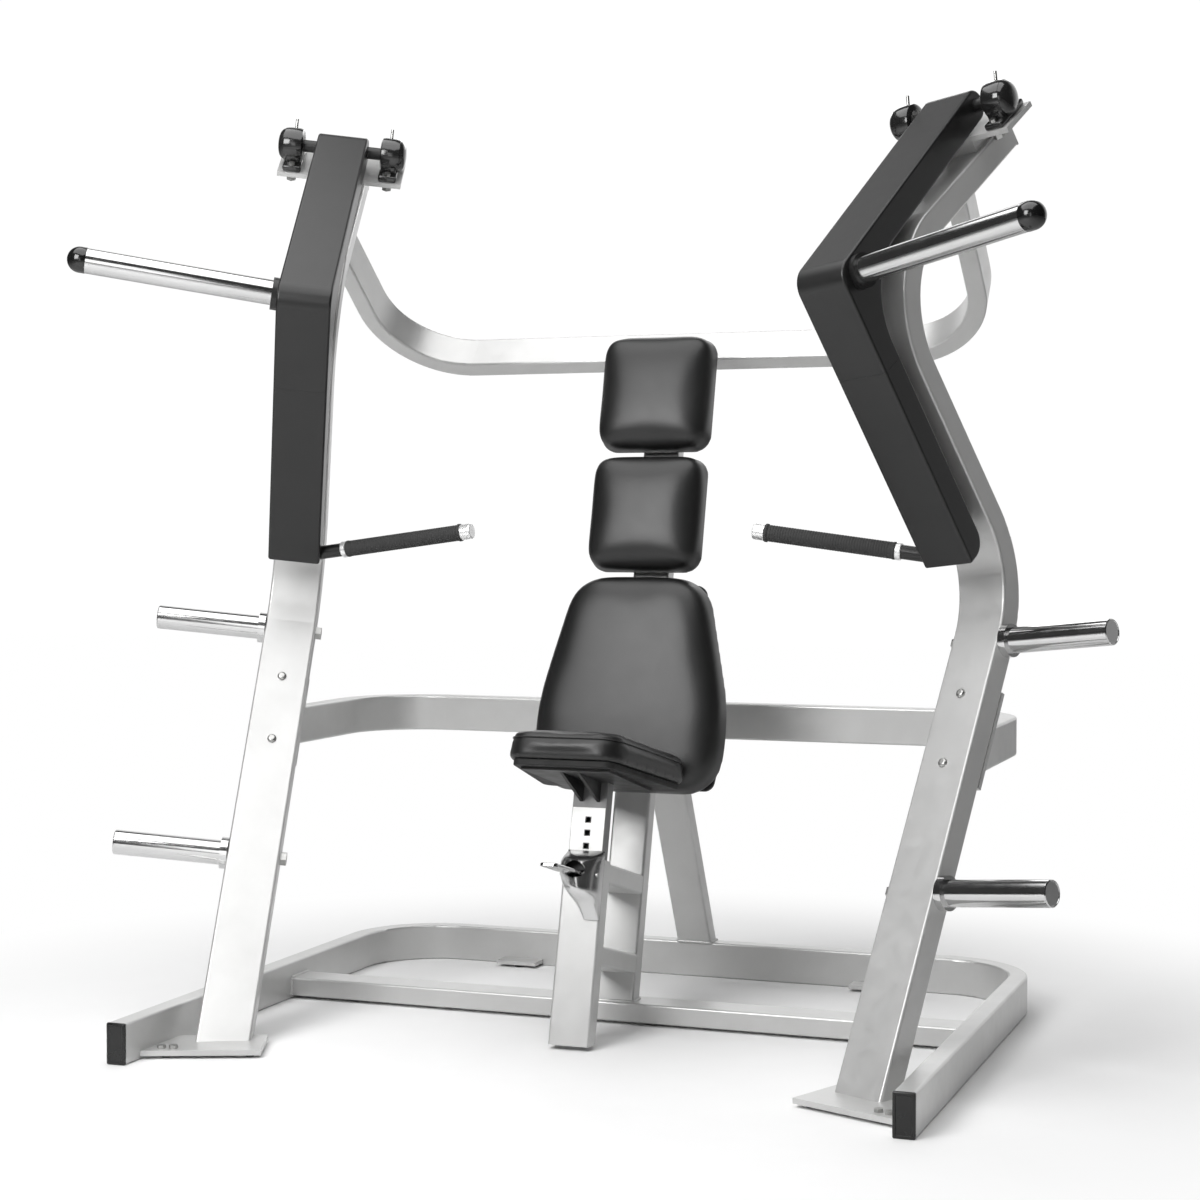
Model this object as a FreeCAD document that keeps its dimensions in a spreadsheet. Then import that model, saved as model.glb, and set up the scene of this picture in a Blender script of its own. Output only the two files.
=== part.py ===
import FreeCAD, Part
import math
import os
import re

import Sketcher
from FreeCAD import Placement, Rotation, Vector

# Wide chest press machine, plate loaded, as a parametric FreeCAD document.
#
# Millimetres. +X is the machine's left to right width, +Y its rear, +Z up. The origin is on the floor, on the
# plane of symmetry, midway along the base. Each side frame (upright, arm, bearings, horns) stands in one plane
# that is toed in and leans outwards, so it is drawn once in that plane and placed on both sides.

SIZES = {
    # base frame
    "base_half_width": 745, "base_front": 590, "base_rear": 594, "base_corner": 196,
    "tube_wide": 38, "tube_tall": 76, "tube_wall": 3, "tube_round": 5,
    "bar_middle": 81, "bar_lift": 6, "floor_pad_radius": 11, "floor_pad_offset": 75,
    "end_cap_face": 4, "end_cap_plug": 20, "plug_gap": 0.8,
    "tab_inset": 400, "tab_long": 92, "tab_reach": 44, "tab_thick": 8,
    # side plane: where it crosses the floor, its toe-in and its outward lean
    "side_x": 741, "side_y": -91, "toe": 22.3, "splay": 6.1,
    # upright: centre line in the side plane (back, up), bends and section
    "upright_wide": 102, "upright_deep": 51,
    "foot_back": -323, "knee_back": 215, "knee_up": 883, "waist_back": -138, "waist_up": 1418,
    "crown_back": 313, "crown_up": 1729, "knee_bend": 205, "waist_bend": 195,
    # foot plates
    "plate_thick": 10, "plate_front": -428, "plate_back": -300, "plate_inner": -80,
    "stud_radius": 8, "stud_inset": 22,
    # middle and upper cross tubes
    "middle_half_width": 736, "middle_rear": 502, "middle_up": 564, "middle_corner": 190,
    "flange_thick": 8, "flange_long": 196, "flange_along": 688, "flange_bolt_gap": 142,
    "upper_half_width": 676, "upper_corner": 206, "upper_tilt": 38, "upper_gap": 48.85, "upper_drop": 386,
    # seat column: leaning posts, rungs and rear strut
    "column_front": -203, "column_lean": 14.3, "front_post_top": 358, "bracket_reach": 11.6,
    "front_post_wide": 82, "front_post_lift": 9,
    "rear_post_top": 1436, "rung_low": 162, "rung_high": 317,
    "strut_top_up": 690, "head_plate_thick": 6, "head_plate_gap": 60,
    # seat
    "seat_tube_wide": 68, "seat_tube_deep": 30, "seat_tube_low": 100, "seat_board_low": 510,
    "seat_board_thick": 12, "seat_pad_thick": 52, "seat_front": -176, "seat_rear": 136,
    "seat_front_half": 110, "seat_rear_half": 155, "board_inset": 12, "seat_plate_thick": 5,
    "hole_side": 10, "hole_pitch": 25, "hole_count": 8, "pin_up": 308, "top_hole_up": 433,
    # back rest pads, given along the column
    "pad_front": 148, "pad_thick": 66, "pad_board_thick": 12, "soft_gap": 0.4,
    "back_low": 512, "back_high": 950, "back_low_half": 184, "back_high_half": 138,
    "back_wide_up": 655, "back_wide_half": 206, "back_wide_bend": 420,
    "middle_low": 960, "middle_high": 1200, "small_pad_half": 119,
    "head_low": 1212, "head_high": 1454, "small_pad_corner": 42,
    # latch
    "cowl_half": 41, "cowl_reach": 50, "cowl_low": 252, "cowl_high": 372, "cowl_wall": 3.5,
    "lever_up": 327, "lever_reach": 156, "lever_half": 17, "lever_thick": 6, "lever_pin_radius": 4,
    "lever_hinge_front": 20, "running_gap": 0.05, "prong_thick": 3.5, "prong_drop": 27,
    "prong_gap": 0.5, "nose_gap": 0.5,
    # pivot
    "pivot_inset": 78.6, "pivot_off": 99.15, "shaft_radius": 12.5, "block_offset": 99, "block_wide": 38,
    "block_height": 38, "block_long": 100, "block_top_radius": 35, "saddle_long": 108, "saddle_thick": 10,
    "saddle_half": 128, "insert_radius": 22, "bolt_radius": 6, "cover_thick": 12,
    "shaft_stub": 5,
    # press arms
    "arm_wide": 104, "arm_deep": 58, "arm_wall": 4, "elbow_back": -243, "elbow_up": 1411,
    "arm_end_back": 74, "arm_end_up": 923, "elbow_outer": 38, "elbow_inner": 140, "arm_heel": 36,
    "arm_round": 5, "arm_seam": 181, "seam_gap": 0.3, "arm_boss": 24,
    # bumper between upright and arm
    "bumper_along": 176, "bumper_radius": 19, "bumper_cup": 14,
    # horns
    "horn_radius": 24, "horn_spigot": 22.3, "horn_bore": 20.5, "horn_root": 8,
    "collar_radius": 31, "collar_thick": 14,
    "store_horn_long": 222, "store_low_along": 372, "store_high_along": 880,
    "arm_horn_long": 376, "arm_horn_back": -222, "arm_horn_up": 1418, "arm_horn_rise": 3.2,
    "arm_horn_lead": 5.6,
    # handles
    "handle_back": 64, "handle_up": 932, "handle_rise": 7.6, "handle_core": 12, "handle_stub": 50,
    "handle_stub_radius": 13.5, "handle_collar": 11, "handle_collar_radius": 16.5, "grip_long": 254,
    "grip_radius": 16, "handle_cap": 23, "handle_cap_radius": 15.5,
}

doc = FreeCAD.newDocument("ChestPress")
sheet = doc.addObject("Spreadsheet::Sheet", "Sizes")
for row, (alias, size) in enumerate(SIZES.items(), start=1):
    sheet.set(f"A{row}", alias)
    sheet.set(f"B{row}", str(size))
    sheet.setAlias(f"B{row}", alias)
doc.recompute()

ALIAS = re.compile(r"\b(" + "|".join(sorted(SIZES, key=len, reverse=True)) + r")\b")
nodes = []


# ---------------------------------------------------------------- sizes and expressions
def cell(text):
    """Turn a formula of size names into an expression that reads the sheet."""
    return ALIAS.sub(r"Sizes.\1", str(text))


def value(text):
    """Work out a formula of size names as a number."""
    return float(sheet.evalExpression(cell(text)))


def bind(item, **formulas):
    """Bind properties of a document object to formulas of size names."""
    for name, text in formulas.items():
        item.setExpression(name, cell(text))
    return item


def point(*texts):
    return Vector(*(value(text) for text in texts))


def keep(item, label):
    """Name an object as a sub-part that is exported."""
    item.Label = label
    nodes.append(item)
    return item


# ---------------------------------------------------------------- frames of reference
def turned(x_axis, y_axis, origin):
    """Frame with the given local X and Y directions."""
    z_axis = x_axis.cross(y_axis)
    return Placement(origin, Rotation(x_axis, y_axis, z_axis, "ZXY"))


def side_axes(side):
    """Outward normal, back and up directions of a side plane."""
    toe = math.radians(value("toe"))
    splay = math.radians(value("splay"))
    out = Vector(math.cos(toe) * math.cos(splay), -math.sin(toe) * math.cos(splay), math.sin(splay))
    back = Vector(math.sin(toe), math.cos(toe), 0)
    up = out.cross(back)
    return tuple(Vector(axis.x * side, axis.y, axis.z) for axis in (out, back, up))


def side_frame(side):
    """Side plane as a frame: local X back, Y up, Z outwards on the right and inwards on the left."""
    out, back, up = side_axes(side)
    return turned(back, up, Vector(value("side_x") * side, value("side_y"), 0))


def column_frame():
    """Seat column: local X across, Y back from the front post's face, Z up along the lean."""
    return Placement(point("0", "column_front", "0"), Rotation(Vector(1, 0, 0), -value("column_lean")))


def shifted(frame, offset, rotation=Rotation()):
    return frame.multiply(Placement(offset, rotation))


WORLD = Placement()
COLUMN = column_frame()
SIDES = {"left": -1, "right": 1}
# faces of the rear post, behind the front post's face: it stands behind the back rest's brackets
BOARD_REAR = "(pad_front + pad_thick + soft_gap + pad_board_thick)"
POST_FACE = f"({BOARD_REAR} + bracket_reach)"
POST_BACK = f"({POST_FACE} + tube_wide)"
# upper cross tube: its height is held to the uprights' crowns and it runs behind the rear post
UPPER_UP = "(crown_up - upper_drop)"
UPPER_BACK = (f"(column_front + {POST_BACK} / cos(column_lean * 1 deg)"
              f" + {UPPER_UP} * tan(column_lean * 1 deg) + upper_gap)")
# local directions of the origin planes: profile drawn in Y and Z, extruded along X
PROFILE = Placement(Vector(), Rotation(Vector(0, 1, 0), Vector(0, 0, 1), Vector(1, 0, 0), "ZXY"))


# ---------------------------------------------------------------- primitives
def box(name, size, at, frame=WORLD):
    """Box of three size formulas with its low corner at three position formulas."""
    item = doc.addObject("Part::Box", name)
    bind(item, Length=size[0], Width=size[1], Height=size[2])
    item.Placement = shifted(frame, point(*at))
    return item


def cylinder(name, radius, length, at, frame=WORLD, along=Vector(0, 0, 1)):
    item = doc.addObject("Part::Cylinder", name)
    bind(item, Radius=radius, Height=length)
    item.Placement = shifted(frame, point(*at), Rotation(Vector(0, 0, 1), along))
    return item


def hexagon(name, across, thick, at, frame=WORLD, along=Vector(0, 0, 1)):
    """Hexagonal nut or bolt head."""
    item = doc.addObject("Part::Prism", name)
    item.Polygon = 6
    bind(item, Circumradius=f"({across}) / 2 / cos(30 deg)", Height=thick)
    item.Placement = shifted(frame, point(*at), Rotation(Vector(0, 0, 1), along))
    return item


def cut(name, base, *tools):
    """Base less the tools."""
    result = base
    for count, tool in enumerate(tools):
        item = doc.addObject("Part::Cut", f"{name}_cut{count}")
        item.Base = result
        item.Tool = tool
        result = item
    return result


def fuse(name, *shapes):
    item = doc.addObject("Part::MultiFuse", f"{name}_fuse")
    item.Shapes = list(shapes)
    item.Refine = True
    return item


def group(name, *shapes):
    """Separate solids that share one node."""
    item = doc.addObject("Part::Compound", f"{name}_group")
    item.Links = list(shapes)
    return item


def ring(name, radius, bore, length, at, frame=WORLD, along=Vector(0, 0, 1)):
    outer = cylinder(f"{name}_outer", radius, length, at, frame, along)
    inner = cylinder(f"{name}_bore", bore, length, at, frame, along)
    return cut(name, outer, inner)


# ---------------------------------------------------------------- outlines padded in a body
def edges_where(shape, test):
    return [f"Edge{i}" for i, edge in enumerate(shape.Edges, start=1) if test(edge)]


def faces_where(shape, test):
    return [f"Face{i}" for i, face in enumerate(shape.Faces, start=1) if test(face)]


def draw_outline(sketch, outline):
    """Closed outline whose corners are held to the sheet by coordinate constraints."""
    corners = [point(x, y, "0") for x, y in outline]
    for here, there in zip(corners, corners[1:] + corners[:1]):
        sketch.addGeometry(Part.LineSegment(here, there), False)
    count = len(corners)
    for index in range(count):
        sketch.addConstraint(Sketcher.Constraint("Coincident", index, 2, (index + 1) % count, 1))
    for index, (x_text, y_text) in enumerate(outline):
        for kind, text in (("DistanceX", x_text), ("DistanceY", y_text)):
            spot = sketch.addConstraint(Sketcher.Constraint(kind, -1, 1, index, 1, value(text)))
            sketch.setExpression(f"Constraints[{spot}]", cell(text))


def padded(name, outline, height, frame, bends=None, rounding=None, wall=None, open_sides=()):
    """Body padded from an outline, with bent corners, rounded long edges and a hollow inside.

    bends maps a corner's number to its radius. open_sides are the numbers of the outline's sides, counted
    from the corner they start at, where a hollow tube is open.
    """
    body = doc.addObject("PartDesign::Body", name)
    sketch = body.newObject("Sketcher::SketchObject", f"{name}_outline")
    planes = {plane.Role: plane for plane in body.Origin.OriginFeatures}
    sketch.AttachmentSupport = [(planes["XY_Plane"], "")]
    sketch.MapMode = "FlatFace"
    draw_outline(sketch, outline)
    pad = body.newObject("PartDesign::Pad", f"{name}_pad")
    pad.Profile = sketch
    bind(pad, Length=height)
    doc.recompute()
    tip = pad
    corners = [point(x, y, "0") for x, y in outline]
    for radius in sorted(set((bends or {}).values())):
        spots = [corners[i] for i, text in bends.items() if text == radius]
        tip = rounded_edges(body, f"{name}_bend", tip, radius, lambda edge: is_upright_at(edge, spots))
    middles = [(corners[i] + corners[(i + 1) % len(corners)]) * 0.5 for i in open_sides]
    if rounding:
        tall = value(height)
        tip = rounded_edges(body, f"{name}_round", tip, rounding,
                            lambda edge: is_level(edge, tall) and not near(edge, middles))
    if wall:
        shell = body.newObject("PartDesign::Thickness", f"{name}_hollow")
        shell.Base = (tip, faces_where(tip.Shape, lambda face: face_near(face, middles)))
        shell.Reversed = True
        shell.Join = 1
        bind(shell, Value=wall)
        doc.recompute()
    body.Placement = frame
    return body


def rounded_edges(body, name, base, radius, test):
    fillet = body.newObject("PartDesign::Fillet", name)
    fillet.Base = (base, edges_where(base.Shape, test))
    bind(fillet, Radius=radius)
    doc.recompute()
    return fillet


def flat_distance(where, spot):
    return math.hypot(where.x - spot.x, where.y - spot.y)


def is_upright_at(edge, spots):
    ends = [vertex.Point for vertex in edge.Vertexes]
    if len(ends) != 2 or flat_distance(*ends) > 0.01:
        return False
    return any(flat_distance(ends[0], spot) < 0.01 for spot in spots)


def is_level(edge, tall):
    heights = [vertex.Point.z for vertex in edge.Vertexes]
    return max(heights) < 0.01 or min(heights) > tall - 0.01


def near(edge, spots):
    return any(flat_distance(edge.CenterOfMass, spot) < 1.0 for spot in spots)


def face_near(face, spots):
    return any(flat_distance(face.CenterOfMass, spot) < 1.0 for spot in spots)


# ---------------------------------------------------------------- bent tubes and arms drawn in a plane
def polygon_with_bends(corners, radii):
    """Face of a polygon whose corners are replaced by tangent arcs."""
    count = len(corners)
    starts, ends, middles = [], [], []
    for index, here in enumerate(corners):
        before = (corners[index - 1] - here).normalize()
        after = (corners[(index + 1) % count] - here).normalize()
        half = before.getAngle(after) / 2
        reach = radii[index] / math.tan(half)
        inward = (before + after).normalize()
        centre = here + inward * (radii[index] / math.sin(half))
        starts.append(here + before * reach)
        ends.append(here + after * reach)
        middles.append(centre - inward * radii[index])
    edges = []
    for index in range(count):
        if radii[index] > 0:
            edges.append(Part.Arc(starts[index], middles[index], ends[index]).toShape())
        following = starts[(index + 1) % count]
        if ends[index].distanceToPoint(following) > 1e-6:
            edges.append(Part.makeLine(ends[index], following))
    return Part.Face(Part.Wire(edges))


def across(direction):
    """Direction a quarter turn clockwise in the plane."""
    return Vector(direction.y, -direction.x, 0)


def offset_corners(path, distance):
    """Corners of a path shifted sideways by a distance."""
    headings = [(b - a).normalize() for a, b in zip(path, path[1:])]
    corners = [path[0] + across(headings[0]) * distance]
    for index in range(1, len(path) - 1):
        joined = (across(headings[index - 1]) + across(headings[index])).normalize()
        corners.append(path[index] + joined * (distance / joined.dot(across(headings[index]))))
    corners.append(path[-1] + across(headings[-1]) * distance)
    return corners


def slab(face, wide):
    """Face extruded equally to both sides of its plane."""
    moved = face.copy()
    moved.translate(Vector(0, 0, -wide / 2))
    return moved.extrude(Vector(0, 0, wide))


def softened(solid, radius, skip):
    """Round the long edges of a slab, leaving the edges that the test skips."""
    top = solid.BoundBox.ZMax - 0.01
    chosen = [edge for edge in solid.Edges
              if all(abs(vertex.Point.z) > top for vertex in edge.Vertexes)
              and abs(edge.CenterOfMass.z) > top and not skip(edge)]
    return solid.makeFillet(radius, chosen)


def set_shape(name, shape, frame):
    item = doc.addObject("Part::Feature", name)
    item.Shape = shape
    item.Placement = frame
    return item


def upright_path():
    """Centre line of an upright in its side plane, from the foot plate to the crown."""
    foot_up = value("bar_lift + plate_thick")
    return [Vector(value("foot_back"), foot_up, 0), point("knee_back", "knee_up", "0"),
            point("waist_back", "waist_up", "0"), point("crown_back", "crown_up", "0")]


def upright_outline(distance):
    """Outline of the upright at a distance either side of its centre line."""
    path = upright_path()
    knee, waist = value("knee_bend"), value("waist_bend")
    rear = offset_corners(path, distance)
    front = offset_corners(path, -distance)
    # the foot runs a little too far, to be cut level above its plate
    lower = (path[1] - path[0]).normalize()
    foot_up = path[0].y - value("upright_wide * sin(splay * 1 deg)")
    for row in (rear, front):
        row[0] = row[0] - lower * ((row[0].y - foot_up) / lower.y)
    corners = rear + front[::-1]
    radii = [0, knee + distance, waist - distance, 0, 0, waist + distance, knee - distance, 0]
    return corners, radii


def up_to_plates(side):
    """Large block below the top of the foot plates, given in a side's own frame."""
    reach = 1000
    corner = point(f"{side} * side_x - {reach} / 2", f"side_y - {reach}", f"bar_lift + plate_thick - {reach}")
    block = Part.makeBox(reach, reach, reach)
    block.Placement = side_frame(side).inverse().multiply(Placement(corner, Rotation()))
    return block


def upright_shape(side):
    half = value("upright_deep") / 2
    wall = value("tube_wall")
    corners, radii = upright_outline(half)
    solid = slab(polygon_with_bends(corners, radii), value("upright_wide"))
    ends = [(corners[3] + corners[4]) * 0.5, (corners[0] + corners[7]) * 0.5]
    solid = softened(solid, value("tube_round"), lambda edge: near(edge, ends))
    inner_corners, inner_radii = upright_outline(half - wall)
    hollow = slab(polygon_with_bends(inner_corners, inner_radii), value("upright_wide") - 2 * wall)
    return solid.cut(hollow).cut(up_to_plates(side))


def upright_at(along):
    """Point on the lower part of the upright's centre line, and its heading."""
    path = upright_path()
    heading = (path[1] - path[0]).normalize()
    return path[0] + heading * along, heading


def pivot_point():
    """Pivot of an arm in its side plane: a fixed distance off the front of the upright's crown."""
    path = upright_path()
    heading = (path[3] - path[2]).normalize()
    return path[3] - heading * value("pivot_inset") - across(heading) * value("pivot_off")


def arm_path():
    return [pivot_point(), point("elbow_back", "elbow_up", "0"),
            point("arm_end_back", "arm_end_up", "0")]


def arm_outline(inset):
    """Outline of a whole arm, pulled in by an inset."""
    half = value("arm_deep") / 2 - inset
    path = arm_path()
    upper = (path[0] - path[1]).normalize()
    lower = (path[2] - path[1]).normalize()
    path[0] = path[0] + upper * half
    path[2] = path[2] - lower * inset
    front = offset_corners(path, half)
    rear = offset_corners(path, -half)
    if front[1].x > rear[1].x:
        front, rear = rear, front
    corners = front + rear[::-1]
    small = 3.0
    end = half - 0.01
    heel = value("arm_heel") - inset
    radii = [end, value("elbow_outer") - inset, small, heel, value("elbow_inner") + inset, end]
    return corners, radii


def arm_piece(part):
    """Upper or lower piece of an arm: a closed box section with a boss where the shaft passes."""
    wall = value("arm_wall")
    wide = value("arm_wide")
    path = arm_path()
    lower = (path[2] - path[1]).normalize()
    seam = path[1] + lower * value("arm_seam")
    solid = softened(slab(polygon_with_bends(*arm_outline(0)), wide), value("arm_round"), lambda edge: False)
    hollow = slab(polygon_with_bends(*arm_outline(wall)), wide - 2 * wall)
    gap = value("seam_gap") / 2
    keep_outer = half_plane(seam, lower, gap, part)
    keep_inner = half_plane(seam, lower, gap + wall, part)
    solid = solid.common(keep_outer)
    hollow = hollow.common(keep_inner)
    if part == "upper":
        boss = Part.makeCylinder(value("arm_boss"), wide, path[0] - Vector(0, 0, wide / 2))
        hollow = hollow.cut(boss)
        bore = Part.makeCylinder(value("shaft_radius"), wide, path[0] - Vector(0, 0, wide / 2))
        solid = solid.cut(bore)
    return solid.cut(hollow)


def half_plane(seam, lower, gap, part):
    """Large block on one side of the seam, a gap away from it."""
    reach = 2000
    sign = -1 if part == "upper" else 1
    start = seam + lower * (gap * sign)
    block = Part.makeBox(reach, reach, reach, Vector(-reach / 2, 0, -reach / 2))
    block.Placement = Placement(start, Rotation(Vector(0, 1, 0), lower * sign))
    return block


# ---------------------------------------------------------------- base frame
def build_base():
    rear_tube_rear, half = "base_rear", "base_half_width"
    outline = [
        (f"-{half}", "-base_front"), (f"-{half} + tube_wide", "-base_front"),
        (f"-{half} + tube_wide", f"{rear_tube_rear} - tube_wide"),
        (f"{half} - tube_wide", f"{rear_tube_rear} - tube_wide"),
        (f"{half} - tube_wide", "-base_front"), (half, "-base_front"),
        (half, rear_tube_rear), (f"-{half}", rear_tube_rear),
    ]
    bends = {2: "base_corner - tube_wide", 3: "base_corner - tube_wide", 6: "base_corner", 7: "base_corner"}
    keep(padded("base_tube", outline, "tube_tall", WORLD, bends, "tube_round", "tube_wall", (0, 4)),
         "base_tube")
    caps = []
    for name, side in SIDES.items():
        left = f"-{half}" if side < 0 else f"{half} - tube_wide"
        face = box(f"cap_face_{name}", ("tube_wide", "end_cap_face", "tube_tall"),
                   (left, "-base_front - end_cap_face", "0"))
        inner = "tube_wall + plug_gap"
        plug = box(f"cap_plug_{name}",
                   (f"tube_wide - 2 * ({inner})", "end_cap_plug", f"tube_tall - 2 * ({inner})"),
                   (f"{left} + {inner}", "-base_front", inner))
        caps.append(fuse(f"base_end_cap_{name}", face, plug))
    keep(group("base_end_caps", *caps), "base_end_caps")
    inner_face = "(base_half_width - tube_wide)"
    bar = [(f"-{inner_face}", "0"), (inner_face, "0"), (inner_face, "tube_tall"), (f"-{inner_face}", "tube_tall")]
    bar_frame = Placement(point("0", "bar_middle - tube_tall / 2", "bar_lift"), Rotation())
    keep(padded("front_cross_bar", bar, "tube_wide", bar_frame, None, "tube_round", "tube_wall", (1, 3)),
         "front_cross_bar")
    pads = [cylinder(f"bar_pad_{name}", "floor_pad_radius", "bar_lift",
                     (f"{side} * floor_pad_offset", "bar_middle", "0")) for name, side in SIDES.items()]
    tabs = [box(f"tab_{name}", ("tab_long", "tab_reach", "tab_thick"),
                (f"{side} * tab_inset - tab_long / 2", "base_rear - tube_wide - tab_reach", "bar_lift"))
            for name, side in SIDES.items()]
    pads += [cylinder(f"tab_pad_{name}", "floor_pad_radius", "bar_lift",
                      (f"{side} * tab_inset", "base_rear - tube_wide - tab_reach / 2", "0"))
             for name, side in SIDES.items()]
    return tabs, pads


def build_foot_plates(plates, pads):
    heads = []
    for name, side in SIDES.items():
        heading = Rotation(Vector(0, 0, 1), -value("toe") * side)
        frame = Placement(point(f"{side} * side_x", "side_y", "bar_lift"), heading)
        leg_face = "base_half_width - tube_wide - side_x"
        outer_front = f"({leg_face} - sin(toe * 1 deg) * plate_front) / cos(toe * 1 deg)"
        outer_back = f"({leg_face} - sin(toe * 1 deg) * plate_back) / cos(toe * 1 deg)"
        outline = [(f"{side} * plate_inner", "plate_front"), (f"{side} * ({outer_front})", "plate_front"),
                   (f"{side} * ({outer_back})", "plate_back"), (f"{side} * plate_inner", "plate_back")]
        if side < 0:
            outline.reverse()
        plates.append(padded(f"foot_plate_{name}", outline, "plate_thick", frame))
        for spot in ("plate_inner + stud_inset", f"{outer_front} - 2 * stud_inset"):
            pads.append(cylinder(f"plate_pad_{name}", "stud_radius", "bar_lift",
                                 (f"{side} * ({spot})", "plate_front + stud_inset", "-bar_lift"), frame))
        for count in (1, 2):
            spot = f"{outer_front} - ({count} + 0.6) * stud_inset"
            heads.append(hexagon(f"plate_bolt_{name}", "bolt_radius * 2.4", "bolt_radius",
                                 (f"{side} * ({spot})", "plate_front + stud_inset", "plate_thick"), frame))
    keep(group("foot_plates", *plates), "foot_plates")
    keep(group("plate_bolts", *heads), "plate_bolts")
    keep(group("floor_pads", *pads), "floor_pads")


# ---------------------------------------------------------------- uprights and cross tubes
def build_uprights():
    caps = []
    for name, side in SIDES.items():
        keep(set_shape(f"upright_{name}", upright_shape(side), side_frame(side)), f"upright_{name}")
        path = upright_path()
        heading = (path[3] - path[2]).normalize()
        frame = shifted(side_frame(side), path[3], Rotation(heading, across(heading) * -1,
                                                            heading.cross(across(heading) * -1), "ZXY"))
        caps.append(box(f"crown_cap_{name}", ("end_cap_face", "upright_deep", "upright_wide"),
                        ("0", "-upright_deep / 2", "-upright_wide / 2"), frame))
    keep(group("crown_caps", *caps), "crown_caps")


def upright_face_frame(side, along, offset):
    """Frame on the lower upright: local X along it, Y to its front, Z as the side frame."""
    where, heading = upright_at(value(along))
    front = across(heading) * -1
    return shifted(side_frame(side), where + front * value(offset),
                   Rotation(heading, front, heading.cross(front), "ZXY"))


def trim_block(name, frame, low):
    """Large block on the positive Y side of a frame, starting at a low Y."""
    reach = "base_rear"
    return box(name, (f"2 * {reach}", reach, f"2 * {reach}"), (f"-{reach}", low, f"-{reach}"), frame)


def build_cross_tubes():
    half = "middle_half_width"
    outline = [
        (f"-{half}", "0"), (f"-{half} + tube_wide", "0"),
        (f"-{half} + tube_wide", "middle_rear - tube_wide"), (f"{half} - tube_wide", "middle_rear - tube_wide"),
        (f"{half} - tube_wide", "0"), (half, "0"), (half, "middle_rear"), (f"-{half}", "middle_rear"),
    ]
    bends = {2: "middle_corner - tube_wide", 3: "middle_corner - tube_wide",
             6: "middle_corner", 7: "middle_corner"}
    middle_frame = Placement(point("0", "0", "middle_up - tube_tall / 2"), Rotation())
    middle = padded("middle_tube_blank", outline, "tube_tall", middle_frame, bends, "tube_round",
                    "tube_wall", (0, 4))
    blocks, bolts, flanges = [], [], []
    for name, side in SIDES.items():
        frame = upright_face_frame(side, "flange_along", "-upright_deep / 2 - flange_thick")
        flanges.append(box(f"middle_flange_{name}", ("flange_long", "flange_thick", "upright_wide"),
                           ("-flange_long / 2", "0", "-upright_wide / 2"), frame))
        blocks.append(trim_block(f"middle_trim_{name}", frame, "0"))
        for spot in (-1, 1):
            at = f"{spot} * flange_bolt_gap / 2"
            head = cylinder(f"flange_bolt_head_{name}", "bolt_radius * 1.5", "bolt_radius",
                            (at, "flange_thick + upright_deep", "0"), frame, Vector(0, 1, 0))
            head_round = doc.addObject("Part::Fillet", f"flange_bolt_dome_{name}")
            head_round.Base = head
            doc.recompute()
            rim = [i for i, edge in enumerate(head.Shape.Edges, start=1)
                   if (head.Placement.inverse().multVec(edge.CenterOfMass)).z > value("bolt_radius") - 0.01]
            head_round.Edges = [(i, value("bolt_radius * 0.8"), value("bolt_radius * 0.8")) for i in rim[:1]]
            nut = hexagon(f"flange_nut_{name}", "bolt_radius * 3", "bolt_radius",
                          (at, "-bolt_radius", "0"), frame, Vector(0, 1, 0))
            bolts += [head_round, nut]
    keep(cut("middle_tube", middle, *blocks), "middle_tube")
    keep(group("middle_flanges", *flanges), "middle_flanges")
    keep(group("middle_tube_bolts", *bolts), "middle_tube_bolts")

    half = "upper_half_width"
    reach = UPPER_BACK
    outline = [
        (f"-{half}", reach), (f"-{half}", "-tube_wide / 2"), (half, "-tube_wide / 2"), (half, reach),
        (f"{half} - tube_wide", reach), (f"{half} - tube_wide", "tube_wide / 2"),
        (f"-{half} + tube_wide", "tube_wide / 2"), (f"-{half} + tube_wide", reach),
    ]
    bends = {1: "upper_corner", 2: "upper_corner", 5: "upper_corner - tube_wide", 6: "upper_corner - tube_wide"}
    tilt = math.radians(value("upper_tilt"))
    leg = Vector(0, -math.cos(tilt), math.sin(tilt))
    upper_frame = shifted(turned(Vector(1, 0, 0), leg, point("0", UPPER_BACK, UPPER_UP)),
                          point("0", "0", "-tube_tall / 2"))
    upper = padded("upper_tube_blank", outline, "tube_tall", upper_frame, bends, "tube_round",
                   "tube_wall", (3, 7))
    blocks = []
    for name, side in SIDES.items():
        path = upright_path()
        heading = (path[3] - path[2]).normalize()
        front = across(heading) * -1
        frame = shifted(side_frame(side), path[3], Rotation(heading, front, heading.cross(front), "ZXY"))
        blocks.append(trim_block(f"upper_trim_{name}", frame, "-upright_deep / 2"))
    keep(cut("upper_tube", upper, *blocks), "upper_tube")


# ---------------------------------------------------------------- seat column
LEAN = "tan(column_lean * 1 deg)"
SLANT = "cos(column_lean * 1 deg)"


def post_y(behind, up):
    """World Y of a plane a distance behind the front post's face, at a height."""
    return f"(column_front + ({behind}) / {SLANT} + ({up}) * {LEAN})"


def column_profile(name, outline, open_sides, wide="tube_tall"):
    """Tube of the column, drawn from the side in Y and Z."""
    frame = shifted(Placement(point(f"-{wide} / 2", "0", "0"), Rotation()), Vector(), PROFILE.Rotation)
    return padded(name, outline, wide, frame, None, "tube_round", "tube_wall", open_sides)


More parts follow.
